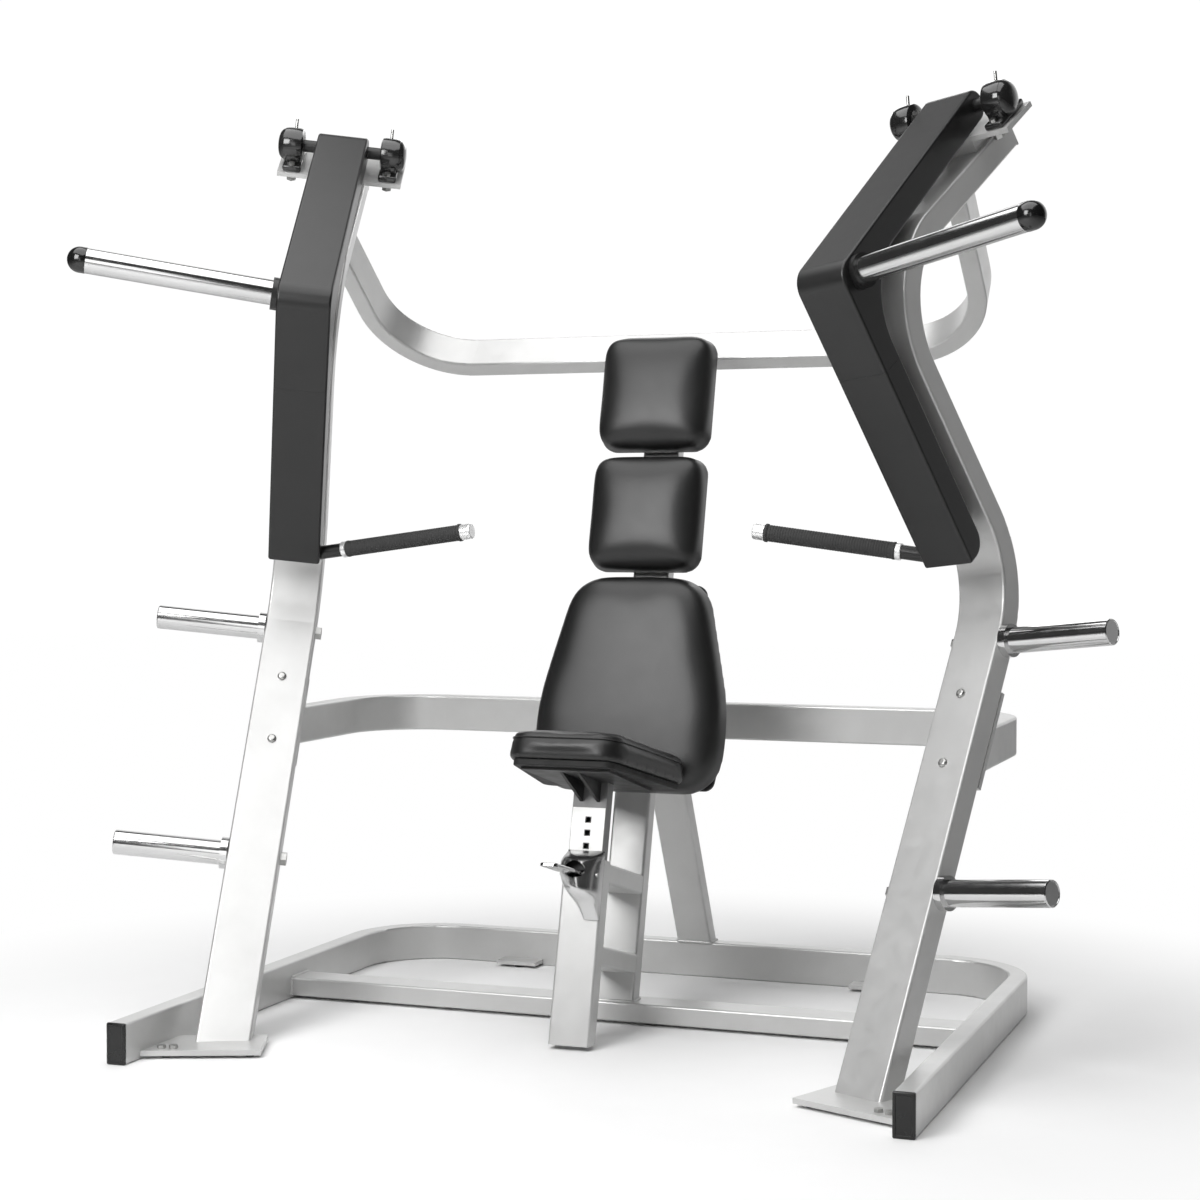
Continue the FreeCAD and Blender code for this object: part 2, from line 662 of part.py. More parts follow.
def build_column():
    # front post: level foot just off the floor, square top
    low = "front_post_lift"
    top_up = f"front_post_top * {SLANT}"
    drop = "tube_wide * sin(column_lean * 1 deg)"
    rear = "tube_wide"
    front_post = column_profile("front_post_blank", [
        (post_y("0", low), low), (post_y(rear, low), low),
        (post_y(rear, f"{top_up} - {drop}"), f"{top_up} - {drop}"), (post_y("0", top_up), top_up)],
        (0, 2), "front_post_wide")
    slot = box("pin_slot", ("hole_side", "tube_wall * 2", "hole_side"),
               ("-hole_side / 2", "-tube_wall / 2", "pin_up - hole_side / 2"), COLUMN)
    keep(cut("front_post", front_post, slot), "front_post")
    # rear post: level foot on the cross bar
    near_face, far_face = POST_FACE, POST_BACK
    foot = "bar_lift + tube_wide"
    head = f"(rear_post_top * {SLANT} - {POST_FACE} * sin(column_lean * 1 deg))"
    rear_post = column_profile("rear_post", [
        (post_y(near_face, foot), foot), (post_y(far_face, foot), foot),
        (post_y(far_face, f"{head} - {drop}"), f"{head} - {drop}"), (post_y(near_face, head), head)], (0, 2))
    keep(rear_post, "rear_post")
    rungs = []
    for name, low in (("lower_rung", "rung_low"), ("upper_rung", "rung_high")):
        outline = [("tube_wide", low), (near_face, low), (near_face, f"{low} + tube_wide"),
                   ("tube_wide", f"{low} + tube_wide")]
        frame = shifted(shifted(COLUMN, point("-tube_tall / 2", "0", "0")), Vector(), PROFILE.Rotation)
        rungs.append(padded(name, outline, "tube_tall", frame, None, "tube_round", "tube_wall", (1, 3)))
    keep(group("post_rungs", *rungs), "post_rungs")
    # rear strut from the base tube up to the rear post
    foot_y = "(base_rear - tube_wide / 2)"
    top_y = post_y(far_face, "strut_top_up")
    run = f"({top_y} - {foot_y})"
    rise = "(strut_top_up - tube_tall)"
    length = f"sqrt({run} ^ 2 + {rise} ^ 2)"
    wide = f"(tube_wide * {length} / {rise})"
    slope = f"({run} / {rise})"

    def meet(offset):
        """Where a face of the strut meets the rear post's face."""
        up = (f"(({top_y} - {foot_y} - ({offset}) + tube_tall * {slope} - strut_top_up * {LEAN})"
              f" / ({slope} - {LEAN}))")
        return (f"({foot_y} + ({offset}) + ({up} - tube_tall) * {slope})", up)

    outline = [(f"{foot_y} - {wide} / 2", "tube_tall"), (f"{foot_y} + {wide} / 2", "tube_tall"),
               meet(f"{wide} / 2"), meet(f"-{wide} / 2")]
    keep(column_profile("rear_strut", outline, (0, 2)), "rear_strut")
    # head plates from the rear post to the upper tube
    tilt = "(upper_tilt * 1 deg)"
    face_y = f"({UPPER_BACK} - tube_wide / 2 * cos{tilt})"
    face_z = f"({UPPER_UP} + tube_wide / 2 * sin{tilt})"
    low_y, low_z = f"({face_y} - tube_tall / 2 * sin{tilt})", f"({face_z} - tube_tall / 2 * cos{tilt})"
    outline = [(post_y(far_face, f"{head} - {drop} - tube_tall"), f"{head} - {drop} - tube_tall"),
               (low_y, low_z), (face_y, face_z), (post_y(far_face, f"{head} - {drop}"), f"{head} - {drop}")]
    plates = []
    for name, side in SIDES.items():
        frame = shifted(Placement(point(f"{side} * head_plate_gap / 2 - head_plate_thick / 2", "0", "0"),
                                  Rotation()), Vector(), PROFILE.Rotation)
        plates.append(padded(f"head_plate_{name}", outline, "head_plate_thick", frame))
    keep(group("head_plates", *plates), "head_plates")


# ---------------------------------------------------------------- seat, back rest and latch
def pad_outline(*stations):
    """Outline of a pad seen from the front, from pairs of a height and a half width, low end first."""
    right = [(half, up) for up, half in stations]
    left = [(f"-({half})", up) for up, half in reversed(stations)]
    return right + left


def cushion(name, outline, thick, frame, corner, soft, waist=None):
    """Closed cushion with rounded corners and softened rims. waist rounds the corners between the ends."""
    count = len(outline)
    ends = (0, count // 2 - 1, count // 2, count - 1)
    bends = {index: corner if index in ends else waist for index in range(count)}
    return padded(name, outline, thick, frame, bends, soft)


def build_seat():
    wall = "tube_wall"
    long = "seat_board_low - seat_plate_thick - seat_tube_low"
    outer = box("seat_tube_outer", ("seat_tube_wide", "seat_tube_deep", long),
                ("-seat_tube_wide / 2", "(tube_wide - seat_tube_deep) / 2", "seat_tube_low"), COLUMN)
    inner = box("seat_tube_inner", (f"seat_tube_wide - 2 * {wall}", f"seat_tube_deep - 2 * {wall}", long),
                (f"-seat_tube_wide / 2 + {wall}", f"(tube_wide - seat_tube_deep) / 2 + {wall}", "seat_tube_low"),
                COLUMN)
    holes = []
    for index in range(int(value("hole_count"))):
        holes.append(box(f"index_hole_{index}", ("hole_side", "tube_wide / 2", "hole_side"),
                         ("-hole_side / 2", "0", f"top_hole_up - {index} * hole_pitch - hole_side / 2"), COLUMN))
    keep(cut("seat_tube", outer, inner, group("index_holes", *holes)), "seat_tube")
    plate = box("seat_plate",
                ("seat_front_half * 1.6", "seat_rear - seat_front - 6 * board_inset", "seat_plate_thick"),
                ("-seat_front_half * 0.8", "seat_front + 3 * board_inset", "seat_board_low - seat_plate_thick"),
                COLUMN)
    gussets = []
    for name, side in SIDES.items():
        outline = [("seat_front + 5 * board_inset", "seat_board_low - seat_plate_thick"),
                   ("(tube_wide - seat_tube_deep) / 2", "seat_board_low - seat_plate_thick - tube_wide"),
                   ("(tube_wide - seat_tube_deep) / 2", "seat_board_low - seat_plate_thick")]
        frame = shifted(shifted(COLUMN, point(f"{side} * seat_tube_wide / 4 - head_plate_thick / 2", "0", "0")),
                        Vector(), PROFILE.Rotation)
        gussets.append(padded(f"seat_gusset_{name}", outline, "head_plate_thick", frame))
    keep(fuse("seat_bracket", plate, *gussets), "seat_bracket")
    outline = [("-seat_front_half", "seat_front"), ("seat_front_half", "seat_front"),
               ("seat_rear_half", "seat_rear"), ("-seat_rear_half", "seat_rear")]
    inset = "board_inset"
    board = [(f"-seat_front_half + {inset}", f"seat_front + {inset}"),
             (f"seat_front_half - {inset}", f"seat_front + {inset}"),
             (f"seat_rear_half - {inset}", f"seat_rear - {inset}"),
             (f"-seat_rear_half + {inset}", f"seat_rear - {inset}")]
    keep(cushion("seat_board", board, "seat_board_thick", shifted(COLUMN, point("0", "0", "seat_board_low")),
                 "small_pad_corner / 2", "2"), "seat_board")
    pad_low = "seat_board_low + seat_board_thick + soft_gap"
    keep(cushion("seat_pad", outline, "seat_pad_thick", shifted(COLUMN, point("0", "0", pad_low)),
                 "small_pad_corner", "seat_pad_thick / 4"), "seat_pad")


def build_back_rest():
    inset = "board_inset"
    pads = {
        "back_pad": ((("back_low", "back_low_half"), ("back_wide_up", "back_wide_half"),
                      ("back_high", "back_high_half")), "small_pad_corner * 1.5"),
        "middle_pad": ((("middle_low", "small_pad_half"), ("middle_high", "small_pad_half")),
                       "small_pad_corner"),
        "head_pad": ((("head_low", "small_pad_half"), ("head_high", "small_pad_half")), "small_pad_corner"),
    }
    facing = Rotation(Vector(1, 0, 0), Vector(0, 0, 1), Vector(0, -1, 0), "ZXY")
    boards, brackets = [], []
    for name, (stations, corner) in pads.items():
        frame = shifted(COLUMN, point("0", "pad_front + pad_thick", "0"), facing)
        keep(cushion(name, pad_outline(*stations), "pad_thick", frame, corner, "pad_thick / 4",
                     "back_wide_bend"), name)
        (low, low_half), *between, (high, high_half) = stations
        smaller = [(f"{low} + {inset}", f"{low_half} - {inset}")]
        smaller += [(up, f"{half} - {inset}") for up, half in between]
        smaller += [(f"{high} - {inset}", f"{high_half} - {inset}")]
        frame = shifted(COLUMN, point("0", BOARD_REAR, "0"), facing)
        boards.append(cushion(f"{name}_board", pad_outline(*smaller), "pad_board_thick", frame,
                              "small_pad_corner / 2", "2", "back_wide_bend"))
        for end, sign in ((low, 1), (high, -1)):
            at = f"{end} + {sign} * (3 * board_inset + tube_wide / 2) - tube_wide / 2"
            brackets.append(box(f"{name}_bracket",
                                ("tube_tall * 1.6", "bracket_reach", "tube_wide"),
                                ("-tube_tall * 0.8", BOARD_REAR, at), COLUMN))
    keep(group("pad_boards", *boards), "pad_boards")
    keep(group("pad_brackets", *brackets), "pad_brackets")


def build_latch():
    # cowl in front of the post: an open shell with a rounded nose, drawn from the side
    def cowl_profile(inset):
        """Outline of the cowl, pulled in by an inset."""
        nose = f"-cowl_reach + {inset}"
        return [("0", f"cowl_low + {inset}"), ("0", f"cowl_high - {inset}"),
                (nose, f"cowl_high - {inset}"), (nose, "cowl_low + (cowl_high - cowl_low) / 2"),
                ("-cowl_reach / 3", f"cowl_low + {inset}")]

    blanks = []
    for name, inset, half in (("outer", "0", "cowl_half"), ("inner", "cowl_wall", "cowl_half - cowl_wall")):
        frame = shifted(shifted(COLUMN, point(f"-({half})", "0", "0")), Vector(), PROFILE.Rotation)
        outline = cowl_profile(inset)
        bends = {2: "cowl_reach / 2", 3: "cowl_reach / 3"}
        blanks.append(padded(f"cowl_{name}", outline, f"2 * ({half})", frame, bends))
    mouth = box("cowl_mouth", ("2 * (lever_half + lever_thick)", "cowl_reach", "6 * lever_thick"),
                ("-lever_half - lever_thick", "-cowl_reach - lever_thick", "lever_up - 1.5 * lever_thick"),
                COLUMN)
    keep(cut("latch_cowl", blanks[0], blanks[1], mouth), "latch_cowl")
    # lever: flat paddle, an eye round its hinge pin and a fork that straddles the locking pin
    side = "(hole_side - 1)"
    hinge = "-lever_hinge_front"
    across_x = Vector(1, 0, 0)
    blade = box("lever_blade", ("2 * lever_half", "lever_reach", "lever_thick"),
                ("-lever_half", f"{hinge} - lever_reach", "lever_up - lever_thick / 2"), COLUMN)
    eye = cylinder("lever_eye", "2 * lever_pin_radius", "2 * lever_half", ("-lever_half", hinge, "lever_up"),
                   COLUMN, across_x)
    prongs = []
    for place in (-1, 1):
        middle = f"{place} * ({side} / 2 + 1 + prong_thick / 2)"
        prongs.append(box("lever_prong", ("prong_thick", "lever_thick", "prong_drop"),
                          (f"{middle} - prong_thick / 2", f"{hinge} - lever_thick / 2", "lever_up - prong_drop"),
                          COLUMN))
    hole = cylinder("lever_hole", "lever_pin_radius + running_gap", "2 * lever_half",
                    ("-lever_half", hinge, "lever_up"), COLUMN, across_x)
    keep(cut("latch_lever", fuse("lever", blade, eye, *prongs), hole), "latch_lever")
    inside = "(cowl_half - cowl_wall)"
    keep(cylinder("latch_hinge_pin_body", "lever_pin_radius", f"2 * {inside}",
                  (f"-{inside}", hinge, "lever_up"), COLUMN, across_x), "latch_hinge_pin")
    # square locking pin: its nose stops short of the seat tube, its head lies in front of the fork
    head_rear = f"({hinge} - lever_thick / 2 - prong_gap)"
    nose = "((tube_wide - seat_tube_deep) / 2 - nose_gap)"
    shank = box("lock_shank", (side, f"{nose} - {head_rear}", side),
                (f"-{side} / 2", head_rear, f"pin_up - {side} / 2"), COLUMN)
    head = box("lock_head", ("2 * hole_side", "lever_thick", "2 * hole_side - 2"),
               ("-hole_side", f"{head_rear} - lever_thick", "pin_up - hole_side + 1"), COLUMN)
    keep(fuse("latch_pin", shank, head), "latch_pin")


# ---------------------------------------------------------------- pivots
def pivot_frame(side):
    """Frame at the pivot: local X along the upright's crown, Y away from it, Z as the side frame."""
    path = upright_path()
    heading = (path[3] - path[2]).normalize()
    front = across(heading) * -1
    return shifted(side_frame(side), pivot_point(),
                   Rotation(heading, front, heading.cross(front), "ZXY"))


def build_pivots():
    riser_thick = "(pivot_off - upright_deep / 2 - block_height - saddle_thick)"
    nipples, bolts, covers, blocks, inserts, saddles = [], [], [], [], [], []
    for name, side in SIDES.items():
        frame = pivot_frame(side)
        upwards = frame.Rotation.inverted().multVec(side_axes(side)[2])
        saddle = box(f"saddle_plate_{name}", ("saddle_long", "saddle_thick", "2 * saddle_half"),
                     ("-saddle_long / 2", "-block_height - saddle_thick", "-saddle_half"), frame)
        riser = box(f"saddle_riser_{name}", ("saddle_long * 0.8", riser_thick, "upright_wide * 0.8"),
                    ("-saddle_long * 0.4", f"-block_height - saddle_thick - {riser_thick}",
                     "-upright_wide * 0.4"), frame)
        saddles.append(fuse(f"pivot_saddle_{name}", saddle, riser))
        for place in (-side, side):
            middle = f"{place} * block_offset"
            low = f"{middle} - block_wide / 2"
            foot = box(f"block_foot_{name}", ("block_long", "block_height / 3", "block_wide"),
                       ("-block_long / 2", "-block_height", low), frame)
            dome = cylinder(f"block_dome_{name}", "block_top_radius", "block_wide", ("0", "0", low), frame)
            waist = box(f"block_waist_{name}", ("2 * block_top_radius", "block_height", "block_wide"),
                        ("-block_top_radius", "-block_height", low), frame)
            bore = cylinder(f"block_bore_{name}", "insert_radius", "block_wide", ("0", "0", low), frame)
            blocks.append(cut(f"bearing_block_{name}_{len(blocks)}", fuse(f"block_{name}", foot, dome, waist),
                              bore))
            inserts.append(ring(f"bearing_insert_{name}", "insert_radius", "shaft_radius + running_gap",
                                "block_wide", ("0", "0", low), frame))
            root = upwards * value("block_top_radius") + point("0", "0", middle)
            nipple = doc.addObject("Part::Cylinder", f"nipple_{name}")
            bind(nipple, Radius="bolt_radius / 2", Height="3 * bolt_radius")
            nipple.Placement = shifted(frame, root, Rotation(Vector(0, 0, 1), upwards))
            nipples.append(nipple)
            for spot in (-1, 1):
                x_text = f"{spot} * (block_long / 2 - 1.2 * bolt_radius)"
                bolts.append(hexagon(f"block_bolt_{name}", "bolt_radius * 2", "bolt_radius",
                                     (x_text, "-block_height * 2 / 3", middle), frame, Vector(0, 1, 0)))
                bolts.append(hexagon(f"block_nut_{name}", "bolt_radius * 3", "bolt_radius * 1.5",
                                     (x_text, "-block_height - saddle_thick - bolt_radius * 1.5", middle),
                                     frame, Vector(0, 1, 0)))
            outwards = Vector(0, 0, place)
            face = f"{middle} + {place} * block_wide / 2"
            cover = cylinder(f"cover_{name}", "insert_radius + 4", "cover_thick", ("0", "0", face), frame,
                             outwards)
            recess = cylinder(f"cover_recess_{name}", "insert_radius", "cover_thick - tube_wall",
                              ("0", "0", face), frame, outwards)
            covers.append(cut(f"bearing_cover_{name}_{len(covers)}", cover, recess))
        long = "(2 * block_offset + block_wide + 2 * shaft_stub)"
        shaft = cylinder(f"shaft_{name}", "shaft_radius", long, ("0", "0", f"-{long} / 2"), frame)
        keep(shaft, f"pivot_shaft_{name}")
    keep(group("pivot_saddles", *saddles), "pivot_saddles")
    keep(group("bearing_blocks", *blocks), "bearing_blocks")
    keep(group("bearing_inserts", *inserts), "bearing_inserts")
    keep(group("grease_nipples", *nipples), "grease_nipples")
    keep(group("block_bolts", *bolts), "block_bolts")
    keep(group("bearing_covers", *covers), "bearing_covers")


# ---------------------------------------------------------------- arms, horns, handles and bumpers
def build_arms():
    for name, side in SIDES.items():
        for part in ("upper", "lower"):
            label = f"arm_{part}_{name}"
            keep(set_shape(label, arm_piece(part), side_frame(side)), label)


def horn_tube(name, long, root, end, frame):
    """Horn of full size past its collar and turned down inside it, hollow up to an end wall."""
    barrel = cylinder(f"{name}_barrel", "horn_radius", f"{long} - collar_thick", ("0", "0", "collar_thick"), frame)
    spigot = cylinder(f"{name}_spigot", "horn_spigot", f"collar_thick + {root}", ("0", "0", f"-({root})"), frame)
    bore = cylinder(f"{name}_bore", "horn_bore", f"{long} + {root} - {end}", ("0", "0", f"-({root})"), frame)
    return cut(name, fuse(f"{name}_outer", barrel, spigot), bore)


def build_storage_horns():
    horns, collars, nuts = [], [], []
    for name, side in SIDES.items():
        outwards = Vector(0, 0, side)
        for along in ("store_low_along", "store_high_along"):
            where, _ = upright_at(value(along))
            root = where + outwards * value("upright_wide / 2")
            frame = shifted(side_frame(side), root, Rotation(Vector(0, 0, 1), outwards))
            horns.append(horn_tube(f"storage_horn_{name}_{len(horns)}", "store_horn_long", "0", "tube_wall",
                                   frame))
            collars.append(ring(f"storage_collar_{name}_{len(collars)}", "collar_radius", "horn_spigot",
                                "collar_thick", ("0", "0", "0"), frame))
            nuts.append(hexagon(f"horn_nut_{name}", "bolt_radius * 4", "bolt_radius * 2",
                                ("0", "0", "-upright_wide - bolt_radius * 2"), frame))
    keep(group("storage_horns", *horns), "storage_horns")
    keep(group("storage_horn_collars", *collars), "storage_horn_collars")
    keep(group("storage_horn_nuts", *nuts), "storage_horn_nuts")


def arm_horn_direction(side):
    """Direction of an arm's horn in the side frame: outwards, a little forwards and up."""
    rise = math.radians(value("arm_horn_rise"))
    lead = math.radians(value("arm_horn_lead"))
    return Vector(-math.tan(lead), math.tan(rise), side).normalize()


def build_arm_horns():
    for name, side in SIDES.items():
        heading = arm_horn_direction(side)
        root = Vector(value("arm_horn_back"), value("arm_horn_up"), side * value("arm_wide") / 2)
        frame = shifted(side_frame(side), root, Rotation(Vector(0, 0, 1), heading))
        label = f"arm_horn_{name}"
        inwards = shifted(side_frame(side), root, Rotation(Vector(0, 1, 0), Vector(0, 0, -side)))
        arm_body = trim_block(f"{label}_trim", inwards, "0")
        keep(cut(label, horn_tube(f"{label}_tube", "arm_horn_long", "horn_root", "0", frame), arm_body), label)
        collar = ring(f"{label}_flange", "collar_radius", "horn_spigot", "collar_thick + horn_root",
                      ("0", "0", "-horn_root"), frame)
        keep(cut(f"{label}_collar", collar, arm_body), f"{label}_collar")
        dome = doc.addObject("Part::Sphere", f"{label}_dome")
        bind(dome, Radius="horn_radius")
        dome.Angle1 = 0
        dome.Placement = shifted(frame, point("0", "0", "arm_horn_long"))
        keep(dome, f"{label}_cap")


def handle_frame(side):
    """Frame at a handle's root on the arm's inner face, local Z along the handle."""
    rise = math.radians(value("handle_rise"))
    world = Vector(-math.cos(rise) * side, 0, math.sin(rise))
    out, back, up = side_axes(side)
    local_z = Vector(world.dot(back), world.dot(up), world.dot(out) * side)
    root = Vector(value("handle_back"), value("handle_up"), -side * value("arm_wide") / 2)
    return shifted(side_frame(side), root, Rotation(Vector(0, 0, 1), local_z))


def build_handles():
    for name, side in SIDES.items():
        frame = handle_frame(side)
        root = Vector(value("handle_back"), value("handle_up"), -side * value("arm_wide") / 2)
        inwards = shifted(side_frame(side), root, Rotation(Vector(0, 1, 0), Vector(0, 0, side)))
        arm_body = trim_block(f"handle_trim_{name}", inwards, "0")
        start = "handle_stub"
        total = "handle_collar + grip_long"
        stub = cylinder(f"handle_stub_{name}", "handle_stub_radius", f"{start} + handle_core",
                        ("0", "0", "-handle_core"), frame)
        core = cylinder(f"handle_core_{name}", "handle_core", total, ("0", "0", start), frame)
        keep(cut(f"handle_bar_{name}", fuse(f"handle_{name}", stub, core), arm_body), f"handle_bar_{name}")
        collar = ring(f"handle_collar_{name}", "handle_collar_radius", "handle_core", "handle_collar",
                      ("0", "0", start), frame)
        cap = cylinder(f"handle_cap_{name}", "handle_cap_radius", "handle_cap",
                       ("0", "0", f"{start} + {total}"), frame)
        keep(group(f"handle_rings_{name}", collar, cap), f"handle_rings_{name}")
        keep(ring(f"grip_{name}", "grip_radius", "handle_core", "grip_long",
                  ("0", "0", f"{start} + handle_collar"), frame), f"grip_{name}")


def build_bumpers():
    """Rubber stops on the uprights that the arms rest on."""
    path = upright_path()
    heading = (path[2] - path[1]).normalize()
    front = across(heading) * -1
    where = path[1] + heading * value("bumper_along") + front * value("upright_deep / 2")
    arm = arm_path()
    arm_heading = (arm[2] - arm[1]).normalize()
    normal = across(arm_heading)
    if normal.dot(front) < 0:
        normal = normal * -1
    # nearest approach of the arm's rear face across the bumper's end
    gaps = []
    for edge in (-1, 1):
        rim = where + heading * (edge * value("bumper_radius"))
        gaps.append(((arm[1] - rim).dot(normal) - value("arm_deep") / 2) / front.dot(normal))
    reach = min(gaps) - value("soft_gap")
    cups, rubbers = [], []
    for name, side in SIDES.items():
        frame = side_frame(side)
        spot = shifted(frame, where, Rotation(Vector(0, 0, 1), front))
        cup = cylinder(f"bumper_cup_{name}", "bumper_radius * 0.8", "bumper_cup", ("0", "0", "0"), spot)
        rubber = cylinder(f"bumper_{name}", "bumper_radius", f"{reach} - bumper_cup",
                          ("0", "0", "bumper_cup"), spot)
        cups.append(cup)
        rubbers.append(rubber)
    keep(group("bumper_cups", *cups), "bumper_cups")
    keep(group("rest_bumpers", *rubbers), "rest_bumpers")


def check_and_write():
    """Stop on any failed object, then write each sub-part."""
    doc.recompute()
    for item in doc.Objects:
        if "Invalid" in item.State or "Error" in item.State:
            raise RuntimeError(f"{item.Name} failed: {item.State}")
    os.makedirs("parts", exist_ok=True)
    for item in nodes:
        shape = item.Shape
        if shape.isNull() or not shape.isValid() or not shape.Solids:
            raise RuntimeError(f"{item.Label} has no valid solid")
        shape.exportStep(f"parts/{item.Label}.step")
    print(f"{len(nodes)} sub-parts written")


build_foot_plates(*build_base())
build_uprights()
build_cross_tubes()
build_column()
build_seat()
build_back_rest()
build_latch()
build_pivots()
build_arms()
build_storage_horns()
build_arm_horns()
build_handles()
build_bumpers()
check_and_write()
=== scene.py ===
"""Finishes, upholstery and detail for a plate-loaded chest press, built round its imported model.

Metres. +X is right, +Y the rear, +Z up, and the origin is on the floor at the middle of the base. Each side
frame stands in a plane that is toed in and leans outwards, and the seat column leans back: pieces are made
in those planes, as (outwards, back, up) and (across, behind, along), and then placed.
"""

import logging
import math
from dataclasses import dataclass
from enum import Enum
from typing import Iterable, Sequence

import bmesh
import bpy
from mathutils import Matrix, Vector, noise
from mathutils.bvhtree import BVHTree


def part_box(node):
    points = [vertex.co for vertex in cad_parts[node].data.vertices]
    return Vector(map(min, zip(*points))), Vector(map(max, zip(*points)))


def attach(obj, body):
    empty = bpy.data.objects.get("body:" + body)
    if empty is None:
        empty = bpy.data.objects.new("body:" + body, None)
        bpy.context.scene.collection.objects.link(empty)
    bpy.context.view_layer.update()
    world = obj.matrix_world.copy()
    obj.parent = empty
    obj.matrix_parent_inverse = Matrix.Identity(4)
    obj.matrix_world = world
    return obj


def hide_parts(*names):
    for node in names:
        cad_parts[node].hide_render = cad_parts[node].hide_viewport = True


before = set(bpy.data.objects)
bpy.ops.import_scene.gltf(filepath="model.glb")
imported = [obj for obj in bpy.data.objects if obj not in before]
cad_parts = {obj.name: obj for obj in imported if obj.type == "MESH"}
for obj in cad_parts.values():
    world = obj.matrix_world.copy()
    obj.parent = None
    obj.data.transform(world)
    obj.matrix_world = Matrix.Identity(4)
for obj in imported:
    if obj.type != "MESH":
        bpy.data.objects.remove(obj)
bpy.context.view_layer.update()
LOG = logging.getLogger("press")


class Side(Enum):
    """The two sides of the machine."""

    LEFT = -1
    RIGHT = 1

    @property
    def arm(self) -> str:
        """Name of the body that this side's press arm is."""
        return f"{self.name.lower()}_arm"

    @property
    def word(self) -> str:
        """The side's name as node names end with it."""
        return self.name.lower()


class Pattern(Enum):
    """Surface relief of a finish."""

    NONE = "none"
    ORANGE_PEEL = "orange_peel"
    GRAIN = "grain"
    BRUSHED = "brushed"
    CAST = "cast"
    PEBBLE = "pebble"
    FIBRE = "fibre"


